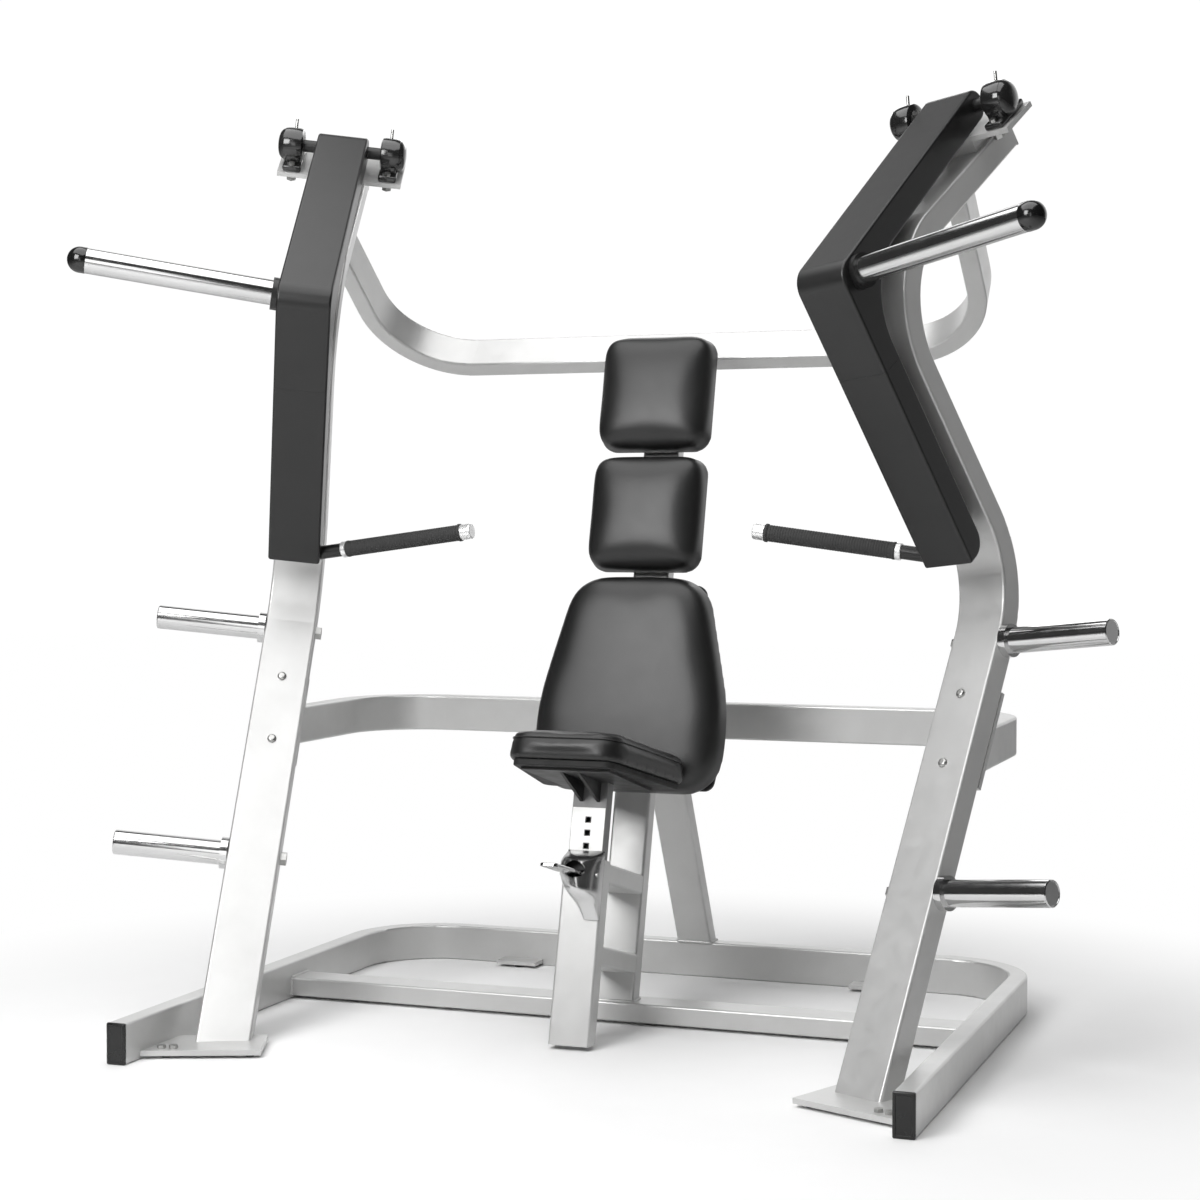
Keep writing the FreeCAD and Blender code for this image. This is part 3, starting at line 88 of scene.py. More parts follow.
# ------------------------------------------------------------------ finishes
@dataclass(frozen=True)
class Finish:
    """A procedural finish: a colour that varies a little, a roughness that varies a little, and a relief."""

    name: str
    colour: tuple[float, float, float]
    worn: tuple[float, float, float]
    roughness: float
    roughness_spread: float = 0.08
    metallic: float = 0.0
    coat: float = 0.0
    coat_roughness: float = 0.1
    sheen: float = 0.0
    specular: float = 0.5
    pattern: Pattern = Pattern.NONE
    patch_scale: float = 9.0
    relief: float = 0.1
    relief_scale: float = 900.0

    def material(self) -> bpy.types.Material:
        """Make the material, or return it if it is already made.

        Returns:
            The material of this finish.
        """
        made = bpy.data.materials.get(self.name)
        if made:
            return made
        made = bpy.data.materials.new(self.name)
        made.use_nodes = True
        made.diffuse_color = (*self.colour, 1.0)
        tree = made.node_tree
        shader = tree.nodes["Principled BSDF"]
        shader.inputs["Metallic"].default_value = self.metallic
        shader.inputs["Coat Weight"].default_value = self.coat
        shader.inputs["Coat Roughness"].default_value = self.coat_roughness
        shader.inputs["Sheen Weight"].default_value = self.sheen
        shader.inputs["Sheen Roughness"].default_value = 0.4
        shader.inputs["Specular IOR Level"].default_value = self.specular
        place = tree.nodes.new("ShaderNodeTexCoord")
        patches = self._noise(tree, place, self.patch_scale, 5.0, 0.55)
        self._vary_colour(tree, shader, patches)
        self._vary_roughness(tree, shader, place)
        if self.pattern is not Pattern.NONE:
            self._emboss(tree, shader, place)
        return made

    def _noise(self, tree: bpy.types.NodeTree, place: bpy.types.Node, scale: float, detail: float,
               roughness: float, stretch: tuple[float, float, float] = (1.0, 1.0, 1.0)) -> bpy.types.Node:
        """Add a noise texture on object coordinates.

        Args:
            tree: Node tree to add to.
            place: Texture coordinate node.
            scale: Cells per metre.
            detail: Octaves of detail.
            roughness: Weight of the finer octaves.
            stretch: Scale along each axis before the noise.

        Returns:
            The noise node.
        """
        mapping = tree.nodes.new("ShaderNodeMapping")
        mapping.inputs["Scale"].default_value = stretch
        tree.links.new(place.outputs["Object"], mapping.inputs["Vector"])
        texture = tree.nodes.new("ShaderNodeTexNoise")
        texture.inputs["Scale"].default_value = scale
        texture.inputs["Detail"].default_value = detail
        texture.inputs["Roughness"].default_value = roughness
        tree.links.new(mapping.outputs["Vector"], texture.inputs["Vector"])
        return texture

    def _vary_colour(self, tree: bpy.types.NodeTree, shader: bpy.types.Node, patches: bpy.types.Node) -> None:
        """Blend from the colour to its worn tone by a noise.

        Args:
            tree: Node tree to add to.
            shader: Principled shader.
            patches: Noise node that drives the blend.
        """
        ramp = tree.nodes.new("ShaderNodeValToRGB")
        ramp.color_ramp.elements[0].position = 0.36
        ramp.color_ramp.elements[0].color = (*self.colour, 1.0)
        ramp.color_ramp.elements[1].position = 0.7
        ramp.color_ramp.elements[1].color = (*self.worn, 1.0)
        tree.links.new(patches.outputs["Fac"], ramp.inputs["Fac"])
        tree.links.new(ramp.outputs["Color"], shader.inputs["Base Color"])

    def _vary_roughness(self, tree: bpy.types.NodeTree, shader: bpy.types.Node, place: bpy.types.Node) -> None:
        """Spread the roughness by a finer noise, as handling does.

        Args:
            tree: Node tree to add to.
            shader: Principled shader.
            place: Texture coordinate node.
        """
        smears = self._noise(tree, place, self.patch_scale * 3.7, 6.0, 0.6)
        spread = tree.nodes.new("ShaderNodeMapRange")
        spread.inputs["From Min"].default_value = 0.3
        spread.inputs["From Max"].default_value = 0.7
        spread.inputs["To Min"].default_value = max(self.roughness - self.roughness_spread, 0.02)
        spread.inputs["To Max"].default_value = min(self.roughness + self.roughness_spread, 1.0)
        tree.links.new(smears.outputs["Fac"], spread.inputs["Value"])
        tree.links.new(spread.outputs["Result"], shader.inputs["Roughness"])

    def _emboss(self, tree: bpy.types.NodeTree, shader: bpy.types.Node, place: bpy.types.Node) -> None:
        """Add the finish's relief as a bump.

        Args:
            tree: Node tree to add to.
            shader: Principled shader.
            place: Texture coordinate node.
        """
        stretch = (1.0, 1.0, 1.0)
        if self.pattern is Pattern.BRUSHED:
            stretch = (0.05, 1.0, 1.0)
        if self.pattern is Pattern.FIBRE:
            stretch = (1.0, 1.0, 0.06)
        height = self._noise(tree, place, self.relief_scale, 3.0, 0.5, stretch).outputs["Fac"]
        if self.pattern in (Pattern.GRAIN, Pattern.PEBBLE):
            cells = tree.nodes.new("ShaderNodeTexVoronoi")
            cells.feature = "DISTANCE_TO_EDGE" if self.pattern is Pattern.GRAIN else "SMOOTH_F1"
            cells.inputs["Scale"].default_value = self.relief_scale * 0.45
            tree.links.new(place.outputs["Object"], cells.inputs["Vector"])
            joined = tree.nodes.new("ShaderNodeMath")
            joined.operation = "MULTIPLY_ADD"
            joined.inputs[1].default_value = 1.6
            tree.links.new(cells.outputs["Distance"], joined.inputs[0])
            tree.links.new(height, joined.inputs[2])
            height = joined.outputs["Value"]
        bump = tree.nodes.new("ShaderNodeBump")
        bump.inputs["Strength"].default_value = self.relief
        bump.inputs["Distance"].default_value = 0.001
        tree.links.new(height, bump.inputs["Height"])
        tree.links.new(bump.outputs["Normal"], shader.inputs["Normal"])


SILVER = Finish("silver_powder_coat", (0.60, 0.60, 0.595), (0.56, 0.56, 0.555), 0.34, 0.05, metallic=0.45,
                coat=0.12, coat_roughness=0.25, pattern=Pattern.ORANGE_PEEL, relief=0.03, relief_scale=500.0)
# Painted shade: the seat tube is coloured dark grey for the shadow of the seat over it; the frame's own paint is
# silver.
SEAT_TUBE_SHADE = Finish("seat_tube_painted_shade", (0.19, 0.19, 0.19), (0.16, 0.16, 0.16), 0.38, 0.05, metallic=0.4,
              pattern=Pattern.ORANGE_PEEL, relief=0.03, relief_scale=500.0)
BRIGHT = Finish("bare_bright_steel", (0.74, 0.74, 0.73), (0.66, 0.66, 0.65), 0.34, 0.06, metallic=0.3,
                pattern=Pattern.BRUSHED, relief=0.05, relief_scale=1400.0)
CHARCOAL = Finish("charcoal_gloss_coat", (0.007, 0.007, 0.007), (0.009, 0.009, 0.009), 0.36, 0.015, coat=0.1,
                  coat_roughness=0.25, specular=0.48, pattern=Pattern.ORANGE_PEEL, relief=0.006,
                  relief_scale=350.0)
SATIN_BLACK = Finish("satin_black_coat", (0.012, 0.012, 0.012), (0.02, 0.02, 0.02), 0.45, 0.06, specular=0.4,
                     pattern=Pattern.ORANGE_PEEL, relief=0.03, relief_scale=400.0)
CHROME = Finish("polished_chrome", (0.64, 0.64, 0.64), (0.59, 0.59, 0.59), 0.12, 0.02, metallic=1.0)
SATIN_CHROME = Finish("satin_chrome", (0.66, 0.66, 0.66), (0.60, 0.60, 0.60), 0.24, 0.02, metallic=1.0)
STEEL = Finish("zinc_steel", (0.50, 0.50, 0.49), (0.40, 0.40, 0.39), 0.34, 0.08, metallic=1.0,
               pattern=Pattern.BRUSHED, relief=0.1, relief_scale=1500.0)
ALUMINIUM = Finish("turned_aluminium", (0.88, 0.88, 0.88), (0.82, 0.82, 0.82), 0.32, 0.02, metallic=0.7)
IRON = Finish("gloss_painted_casting", (0.010, 0.010, 0.010), (0.018, 0.018, 0.018), 0.18, 0.07, coat=0.6,
              coat_roughness=0.08, pattern=Pattern.CAST, relief=0.16, relief_scale=260.0)
RUBBER = Finish("black_rubber", (0.010, 0.010, 0.010), (0.017, 0.017, 0.017), 0.5, 0.08, specular=0.4,
                pattern=Pattern.PEBBLE, relief=0.05, relief_scale=1500.0)
GLOSS_RUBBER = Finish("glossy_rubber_cap", (0.006, 0.006, 0.006), (0.010, 0.010, 0.010), 0.16, 0.05, coat=0.4,
                      coat_roughness=0.06, pattern=Pattern.CAST, relief=0.03, relief_scale=400.0)
PLASTIC = Finish("moulded_plastic", (0.008, 0.008, 0.008), (0.013, 0.013, 0.013), 0.3, 0.06, specular=0.5,
                 pattern=Pattern.PEBBLE, relief=0.06, relief_scale=1300.0)
VINYL = Finish("upholstery_vinyl", (0.007, 0.007, 0.007), (0.009, 0.009, 0.009), 0.40, 0.012,
               specular=0.6, pattern=Pattern.GRAIN, relief=0.07, relief_scale=800.0)
PIPING = Finish("vinyl_welt", (0.012, 0.012, 0.012), (0.018, 0.018, 0.018), 0.36, 0.06, pattern=Pattern.GRAIN,
                relief=0.08, relief_scale=1000.0)
BOARD = Finish("painted_board", (0.012, 0.012, 0.012), (0.02, 0.02, 0.02), 0.6, 0.08, specular=0.3,
               pattern=Pattern.FIBRE, relief=0.2, relief_scale=500.0)
FLOOR = Finish("studio_floor", (0.93, 0.93, 0.93), (0.92, 0.92, 0.92), 0.7, 0.03, specular=0.1)


# ------------------------------------------------------------------ placing and mesh work
@dataclass(frozen=True)
class SidePlane:
    """Plane of a side frame, given for the right-hand side."""

    floor_x: float = 0.741
    floor_y: float = -0.091
    toe: float = 22.3
    splay: float = 6.1

    def matrix(self) -> Matrix:
        """Frame whose axes point outwards, back and up, on the right-hand side."""
        toe, splay = math.radians(self.toe), math.radians(self.splay)
        out = Vector((math.cos(toe) * math.cos(splay), -math.sin(toe) * math.cos(splay), math.sin(splay)))
        back = Vector((math.sin(toe), math.cos(toe), 0.0))
        axes = Matrix((out, back, out.cross(back))).transposed().to_4x4()
        return Matrix.Translation((self.floor_x, self.floor_y, 0.0)) @ axes

    def put(self, bm: bmesh.types.BMesh, side: Side) -> None:
        """Move a mesh made in the plane's frame to its place on one side.

        Args:
            bm: Mesh in (outwards, back, up).
            side: Side to place it on.
        """
        bmesh.ops.transform(bm, matrix=self.matrix(), verts=bm.verts)
        if side is Side.LEFT:
            bmesh.ops.transform(bm, matrix=Matrix.Scale(-1.0, 4, (1.0, 0.0, 0.0)), verts=bm.verts)
            bmesh.ops.reverse_faces(bm, faces=bm.faces)


@dataclass(frozen=True)
class Column:
    """Leaning seat column."""

    front: float = -0.203
    lean: float = 14.3

    def matrix(self) -> Matrix:
        """Frame whose axes point across, behind and up along the column."""
        return Matrix.Translation((0.0, self.front, 0.0)) @ Matrix.Rotation(-math.radians(self.lean), 4, "X")


SIDE_PLANE = SidePlane()
COLUMN = Column()


def make_piece(bm: bmesh.types.BMesh, name: str, finish: Finish, body: str,
               replaces: Iterable[str] = (), crease: float = 32.0) -> bpy.types.Object:
    """Turn a mesh into a finished piece that rides on a body.

    Args:
        bm: Mesh in place; it is freed.
        name: Name of the piece.
        finish: Finish to dress it in.
        body: Body it moves with.
        replaces: Nodes that it stands in for.
        crease: Angle in degrees past which an edge stays sharp.

    Returns:
        The new object.
    """
    mesh = bpy.data.meshes.new(name)
    bm.to_mesh(mesh)
    bm.free()
    return dress_mesh(mesh, name, finish, body, replaces, crease)


def dress_mesh(mesh: bpy.types.Mesh, name: str, finish: Finish, body: str,
               replaces: Iterable[str] = (), crease: float = 32.0) -> bpy.types.Object:
    """Make an object of a mesh, smooth it, dress it and set it riding.

    Args:
        mesh: Mesh in place.
        name: Name of the piece.
        finish: Finish to dress it in.
        body: Body it moves with.
        replaces: Nodes that it stands in for.
        crease: Angle in degrees past which an edge stays sharp.

    Returns:
        The new object.
    """
    mesh.materials.clear()
    mesh.materials.append(finish.material())
    mesh.shade_smooth()
    mesh.set_sharp_from_angle(angle=math.radians(crease))
    piece = bpy.data.objects.new(name, mesh)
    bpy.context.scene.collection.objects.link(piece)
    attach(piece, body)
    nodes = tuple(replaces)
    if nodes:
        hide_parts(*nodes)
    return piece


def turned(profile: Sequence[tuple[float, float]], steps: int = 40) -> bmesh.types.BMesh:
    """Spin a profile round Z into a closed solid.

    Args:
        profile: Radius and height of each corner, from one end of the axis to the other.
        steps: Steps in the full turn.

    Returns:
        The mesh, with its axis on Z.
    """
    bm = bmesh.new()
    verts = [bm.verts.new((radius, 0.0, height)) for radius, height in profile]
    edges = [bm.edges.new(pair) for pair in zip(verts, verts[1:])]
    bmesh.ops.spin(bm, geom=verts + edges, cent=(0, 0, 0), axis=(0, 0, 1), angle=math.tau, steps=steps,
                   use_merge=True)
    bmesh.ops.remove_doubles(bm, verts=bm.verts, dist=1e-6)
    bmesh.ops.recalc_face_normals(bm, faces=bm.faces)
    return bm


def block(size: tuple[float, float, float], centre: tuple[float, float, float], round_off: float,
          segments: int = 3) -> bmesh.types.BMesh:
    """Block with rounded edges.

    Args:
        size: Its three sizes.
        centre: Its centre.
        round_off: Radius of its edges.
        segments: Segments in each rounded edge.

    Returns:
        The mesh.
    """
    bm = bmesh.new()
    bmesh.ops.create_cube(bm, size=1.0)
    bmesh.ops.scale(bm, vec=size, verts=bm.verts)
    bevel(bm, bm.edges, round_off, segments)
    bmesh.ops.translate(bm, vec=centre, verts=bm.verts)
    return bm


def bevel(bm: bmesh.types.BMesh, geom: Iterable, offset: float, segments: int, affect: str = "EDGES") -> None:
    """Round edges or corners.

    Args:
        bm: Mesh to work on.
        geom: Edges or vertices to round.
        offset: Width of the rounding.
        segments: Segments in it.
        affect: EDGES or VERTICES.
    """
    bmesh.ops.bevel(bm, geom=list(geom), offset=offset, offset_type="OFFSET", segments=segments, profile=0.5,
                    affect=affect, material=-1, clamp_overlap=True)


def slab(outline: Sequence[tuple[float, float]], thick: float, corner: float = 0.0, rim: float = 0.0,
         corner_steps: int = 8, rim_steps: int = 3) -> bmesh.types.BMesh:
    """Flat plate on Z = 0 from an outline, with rounded corners and rims.

    Args:
        outline: Corners in X and Y, anticlockwise.
        thick: Thickness, upwards.
        corner: Radius of the outline's corners.
        rim: Radius of the upper rim.
        corner_steps: Segments in each corner.
        rim_steps: Segments in the rim.

    Returns:
        The mesh.
    """
    bm = bmesh.new()
    bm.faces.new([bm.verts.new((x, y, 0.0)) for x, y in outline])
    if corner:
        bevel(bm, list(bm.verts), corner, corner_steps, "VERTICES")
    face = bm.faces[:][0]
    face.normal_update()
    if face.normal.z < 0:
        bmesh.ops.reverse_faces(bm, faces=[face])
    raised = bmesh.ops.extrude_face_region(bm, geom=[face])["geom"]
    top = [item for item in raised if isinstance(item, bmesh.types.BMVert)]
    bmesh.ops.translate(bm, vec=(0, 0, thick), verts=top)
    bmesh.ops.recalc_face_normals(bm, faces=bm.faces)
    if rim:
        high = [edge for edge in bm.edges if all(v.co.z > thick - 1e-5 for v in edge.verts)]
        bevel(bm, high, rim, rim_steps)
    return bm


def merge(*parts: bmesh.types.BMesh) -> bmesh.types.BMesh:
    """Join meshes into one.

    Args:
        *parts: Meshes to join; they are freed.

    Returns:
        The joined mesh.
    """
    joined = bmesh.new()
    for part in parts:
        spare = bpy.data.meshes.new("spare")
        part.to_mesh(spare)
        part.free()
        joined.from_mesh(spare)
        bpy.data.meshes.remove(spare)
    return joined


def moved(bm: bmesh.types.BMesh, matrix: Matrix) -> bmesh.types.BMesh:
    """Transform a mesh and return it."""
    bmesh.ops.transform(bm, matrix=matrix, verts=bm.verts)
    return bm


def along(direction: Vector, at: Vector) -> Matrix:
    """Frame at a point whose Z lies along a direction."""
    return Matrix.Translation(at) @ direction.to_track_quat("Z", "Y").to_matrix().to_4x4()


RIPPLE = 0.0022  # length of one ripple of a weld bead


def weld_bead(start: Vector, end: Vector, radius: float, seed: int) -> bmesh.types.BMesh:
    """Rippled weld bead along a straight seam.

    Args:
        start: One end of the seam.
        end: Its other end.
        radius: Radius of the bead.
        seed: Moves the ripples' noise.

    Returns:
        The mesh.
    """
    bm = bmesh.new()
    run = (end - start).length
    steps = max(int(run / RIPPLE), 4)
    ring = bmesh.ops.create_circle(bm, cap_ends=True, segments=8, radius=radius * 0.55)["verts"]
    for index in range(1, steps + 1):
        edges = [edge for edge in bm.edges if all(vert in ring for vert in edge.verts)]
        raised = bmesh.ops.extrude_edge_only(bm, edges=edges)["geom"]
        ring = [item for item in raised if isinstance(item, bmesh.types.BMVert)]
        bmesh.ops.translate(bm, vec=(0, 0, run / steps), verts=ring)
        wobble = noise.noise(Vector((index * 0.37, seed * 3.1, 0.5)))
        want = radius * (1.0 + 0.14 * (-1) ** index + 0.16 * wobble)
        want *= 0.55 if index == steps else 1.0
        now = sum(((v.co.xy).length for v in ring)) / len(ring)
        bmesh.ops.scale(bm, vec=(want / now, want / now, 1.0), verts=ring)
    bmesh.ops.holes_fill(bm, edges=[edge for edge in bm.edges if edge.is_boundary])
    bmesh.ops.recalc_face_normals(bm, faces=bm.faces)
    return moved(bm, along((end - start).normalized(), start))


# ------------------------------------------------------------------ upholstery
@dataclass
class Cushion:
    """A stuffed pad, drawn with its crowned face up along its local Z."""

    name: str
    node: str
    body: str
    stations: tuple[tuple[float, float], ...]
    thick: float
    corner: float
    place: Matrix
    rim: float = 0.016
    inset: float = 0.002
    swell: float = 0.009
    puff: float = 0.004
    pressure: float = 2.0
    backing: float = 0.014
    seam_drop: float = 0.020
    waist: float = 0.0
    fill: float = 0.85
    ironing: int = 40
    welted: bool = False

    def outline(self) -> list[tuple[float, float]]:
        """Outline of the pad, a little inside its full size."""
        half = [(width - self.inset, up) for up, width in self.stations]
        low, high = half[0], half[-1]
        half[0] = (low[0], low[1] + self.inset)
        half[-1] = (high[0], high[1] - self.inset)
        return half + [(-x, y) for x, y in reversed(half)]

    def blank(self) -> bpy.types.Object:
        """Make the pad's smooth blank, evenly meshed.

        Returns:
            An object with the blank's mesh, in the pad's own frame.
        """
        bm = bmesh.new()
        bm.faces.new([bm.verts.new((x, y, 0.0)) for x, y in self.outline()])
        ends = [v for v in bm.verts if v.co.y in (min(w.co.y for w in bm.verts), max(w.co.y for w in bm.verts))]
        between = [v for v in bm.verts if v not in ends]
        if between:
            bevel(bm, between, self.waist, 10, "VERTICES")
        ys = [v.co.y for v in bm.verts]
        ends = [v for v in bm.verts if v.co.y in (min(ys), max(ys))]
        bevel(bm, ends, self.corner, 8, "VERTICES")
        face = bm.faces[:][0]
        raised = bmesh.ops.extrude_face_region(bm, geom=[face])["geom"]
        top = [item for item in raised if isinstance(item, bmesh.types.BMVert)]
        bmesh.ops.translate(bm, vec=(0, 0, self.thick - self.inset), verts=top)
        bmesh.ops.recalc_face_normals(bm, faces=bm.faces)
        high = [e for e in bm.edges if all(v.co.z > self.thick - self.inset - 1e-5 for v in e.verts)]
        bevel(bm, high, self.rim, 5)
        low = [e for e in bm.edges if all(v.co.z < 1e-5 for v in e.verts)]
        bevel(bm, low, 0.004, 2)
        mesh = bpy.data.meshes.new(f"{self.name}_blank")
        bm.to_mesh(mesh)
        bm.free()
        blank = bpy.data.objects.new(f"{self.name}_blank", mesh)
        bpy.context.scene.collection.objects.link(blank)
        even = blank.modifiers.new("even", "REMESH")
        even.mode = "VOXEL"
        even.voxel_size = 0.0055
        return blank

    def inflate(self, blank: bpy.types.Object) -> bpy.types.Mesh:
        """Blow the blank up as cloth over foam, held flat at its backing.

        Args:
            blank: Object from blank(); it is removed.

        Returns:
            The swollen mesh, in the pad's own frame.
        """
        mesh = evaluated_mesh(blank)
        bpy.data.objects.remove(blank)
        start = [v.co.copy() for v in mesh.vertices]
        skin = bpy.data.objects.new(f"{self.name}_skin", mesh)
        bpy.context.scene.collection.objects.link(skin)
        held = skin.vertex_groups.new(name="held")
        held.add([i for i, co in enumerate(start) if co.z < self.backing], 1.0, "REPLACE")
        cloth = skin.modifiers.new("stuffing", "CLOTH")
        cloth.settings.quality = 6
        cloth.settings.mass = 0.3
        cloth.settings.tension_stiffness = 30.0
        cloth.settings.compression_stiffness = 30.0
        cloth.settings.bending_stiffness = 2.0
        cloth.settings.use_pressure = True
        cloth.settings.uniform_pressure_force = self.pressure
        cloth.settings.effector_weights.gravity = 0.0
        cloth.settings.vertex_group_mass = "held"
        for index in range(1, 21):
            bpy.context.scene.frame_set(index)
        swollen = evaluated_mesh(skin)
        bpy.data.objects.remove(skin)
        bpy.context.scene.frame_set(1)
        for vert, was in zip(swollen.vertices, start):
            shift = vert.co - was
            if shift.length > self.puff:
                vert.co = was + shift.normalized() * self.puff
        swollen = self.ironed(swollen)
        self.crown(swollen, [v.co.copy() for v in swollen.vertices])
        return swollen

    def ironed(self, mesh: bpy.types.Mesh) -> bpy.types.Mesh:
        """Smooth the creases out of the cover, for it is stretched tight over firm foam.

        Args:
            mesh: Swollen mesh.

        Returns:
            The same mesh, smoothed above its backing.
        """
        bm = bmesh.new()
        bm.from_mesh(mesh)
        free = [v for v in bm.verts if v.co.z > self.backing]
        for _ in range(self.ironing):
            bmesh.ops.smooth_vert(bm, verts=free, factor=0.5, use_axis_x=True, use_axis_y=True,
                                  use_axis_z=True)
        bm.to_mesh(mesh)
        bm.free()
        return mesh

    def crown(self, mesh: bpy.types.Mesh, start: Sequence[Vector]) -> None:
        """Raise the face towards its middle.

        Args:
            mesh: Mesh to change.
            start: Where its vertices stand before.
        """
        low, high = self.stations[0][0], self.stations[-1][0]
        for vert, was in zip(mesh.vertices, start):
            if was.z < self.thick * 0.5:
                continue
            u = min(abs(was.x) / self.half_width(was.y), 1.0)
            v = min(abs(was.y - (low + high) / 2) / ((high - low) / 2), 1.0)
            lift = (1.0 - u ** 2.6) * (1.0 - v ** 2.6)
            vert.co.z = was.z + self.swell * lift

    def half_width(self, up: float) -> float:
        """Half width of the pad at a height on it."""
        for (low, first), (high, last) in zip(self.stations, self.stations[1:]):
            if up <= high:
                share = max((up - low) / (high - low), 0.0)
                return first + (last - first) * share
        return self.stations[-1][1]

    def seam(self, mesh: bpy.types.Mesh, drop: float, radius: float) -> bpy.types.Mesh:
        """Welt that runs round the pad's side, read off its swollen surface.

        Args:
            mesh: Swollen mesh.
            drop: Distance of the welt below the face.
            radius: Radius of the welt.

        Returns:
            A tube mesh, in the pad's own frame.
        """
        tree = BVHTree.FromPolygons([v.co for v in mesh.vertices], [p.vertices[:] for p in mesh.polygons])
        low, high = self.stations[0][0], self.stations[-1][0]
        middle = Vector((0.0, (low + high) / 2, self.thick - drop))
        curve = bpy.data.curves.new(f"{self.name}_welt", "CURVE")
        curve.dimensions = "3D"
        curve.bevel_depth = radius
        curve.bevel_resolution = 2
        spots = []
        for index in range(220):
            turn = math.tau * index / 220
            heading = Vector((math.cos(turn), math.sin(turn), 0.0))
            hit = tree.ray_cast(middle + heading, -heading, 1.0)[0]
            if hit is not None:
                spots.append(hit - heading * radius * 0.25)
        line = curve.splines.new("POLY")
        line.points.add(len(spots) - 1)
        for spot, co in zip(line.points, spots):
            spot.co = (*co, 1.0)
        line.use_cyclic_u = True
        holder = bpy.data.objects.new(f"{self.name}_welt", curve)
        bpy.context.scene.collection.objects.link(holder)
        tube = evaluated_mesh(holder)
        bpy.data.objects.remove(holder)
        return tube

    def build(self) -> bpy.types.Object:
        """Make the pad and its welts.

        Returns:
            The pad.
        """
        mesh = self.inflate(self.blank())
        welts = [self.seam(mesh, self.seam_drop, 0.0016)] if self.welted else []
        if self.welted:
            self.pinch(mesh)
        for index, tube in enumerate(welts):
            tube.transform(self.place)
            dress_mesh(tube, f"{self.name}_welt_{index}", PIPING, self.body)
        mesh.transform(self.place)
        pad = dress_mesh(mesh, self.name, VINYL, self.body, (self.node,), 180.0)
        finer = pad.modifiers.new("finer", "SUBSURF")
        finer.levels = finer.render_levels = 1
        return pad

    def pinch(self, mesh: bpy.types.Mesh) -> None:
        """Draw the cover in where the welt is sewn.

        Args:
            mesh: Mesh to change.
        """
        for vert in mesh.vertices:
            away = (vert.co.z - (self.thick - self.seam_drop)) / 0.005
            if abs(away) < 3.0:
                side = Vector((vert.normal.x, vert.normal.y, 0.0))
                vert.co -= side * 0.0022 * math.exp(-away * away)


def evaluated_mesh(owner: bpy.types.Object) -> bpy.types.Mesh:
    """Mesh of an object with its modifiers applied.

    Args:
        owner: Object to read.

    Returns:
        A new mesh.
    """
    graph = bpy.context.evaluated_depsgraph_get()
    return bpy.data.meshes.new_from_object(owner.evaluated_get(graph))


@dataclass
class Upholstery:
    """Back rest pads and seat pad."""

    pad_front: float = 0.148
    pad_thick: float = 0.066
    seat_low: float = 0.5224
    seat_thick: float = 0.052

    def build(self) -> list[bpy.types.Object]:
        """Make the four pads.

        Returns:
            The pads.
        """
        facing = Matrix(((1, 0, 0, 0), (0, 0, -1, 0), (0, 1, 0, 0), (0, 0, 0, 1)))
        rear = COLUMN.matrix() @ Matrix.Translation((0, self.pad_front + self.pad_thick, 0)) @ facing
        seat = COLUMN.matrix() @ Matrix.Translation((0, 0, self.seat_low))
        pads = [
            Cushion("back_cushion", "back_pad", "frame", ((0.512, 0.184), (0.655, 0.206), (0.950, 0.138)),
                    self.pad_thick, 0.062, rear, waist=0.075, swell=0.010, rim=0.022),
            Cushion("middle_cushion", "middle_pad", "frame", ((0.960, 0.119), (1.200, 0.119)),
                    self.pad_thick, 0.034, rear, swell=0.009, rim=0.020),
            Cushion("head_cushion", "head_pad", "frame", ((1.212, 0.119), (1.454, 0.119)),
                    self.pad_thick, 0.034, rear, swell=0.009, rim=0.020),
            Cushion("seat_cushion", "seat_pad", "seat", ((-0.176, 0.110), (0.136, 0.155)),
                    self.seat_thick, 0.040, seat, swell=0.006, seam_drop=0.012, rim=0.009,
                    ironing=5, welted=True),
        ]
        return [pad.build() for pad in pads]


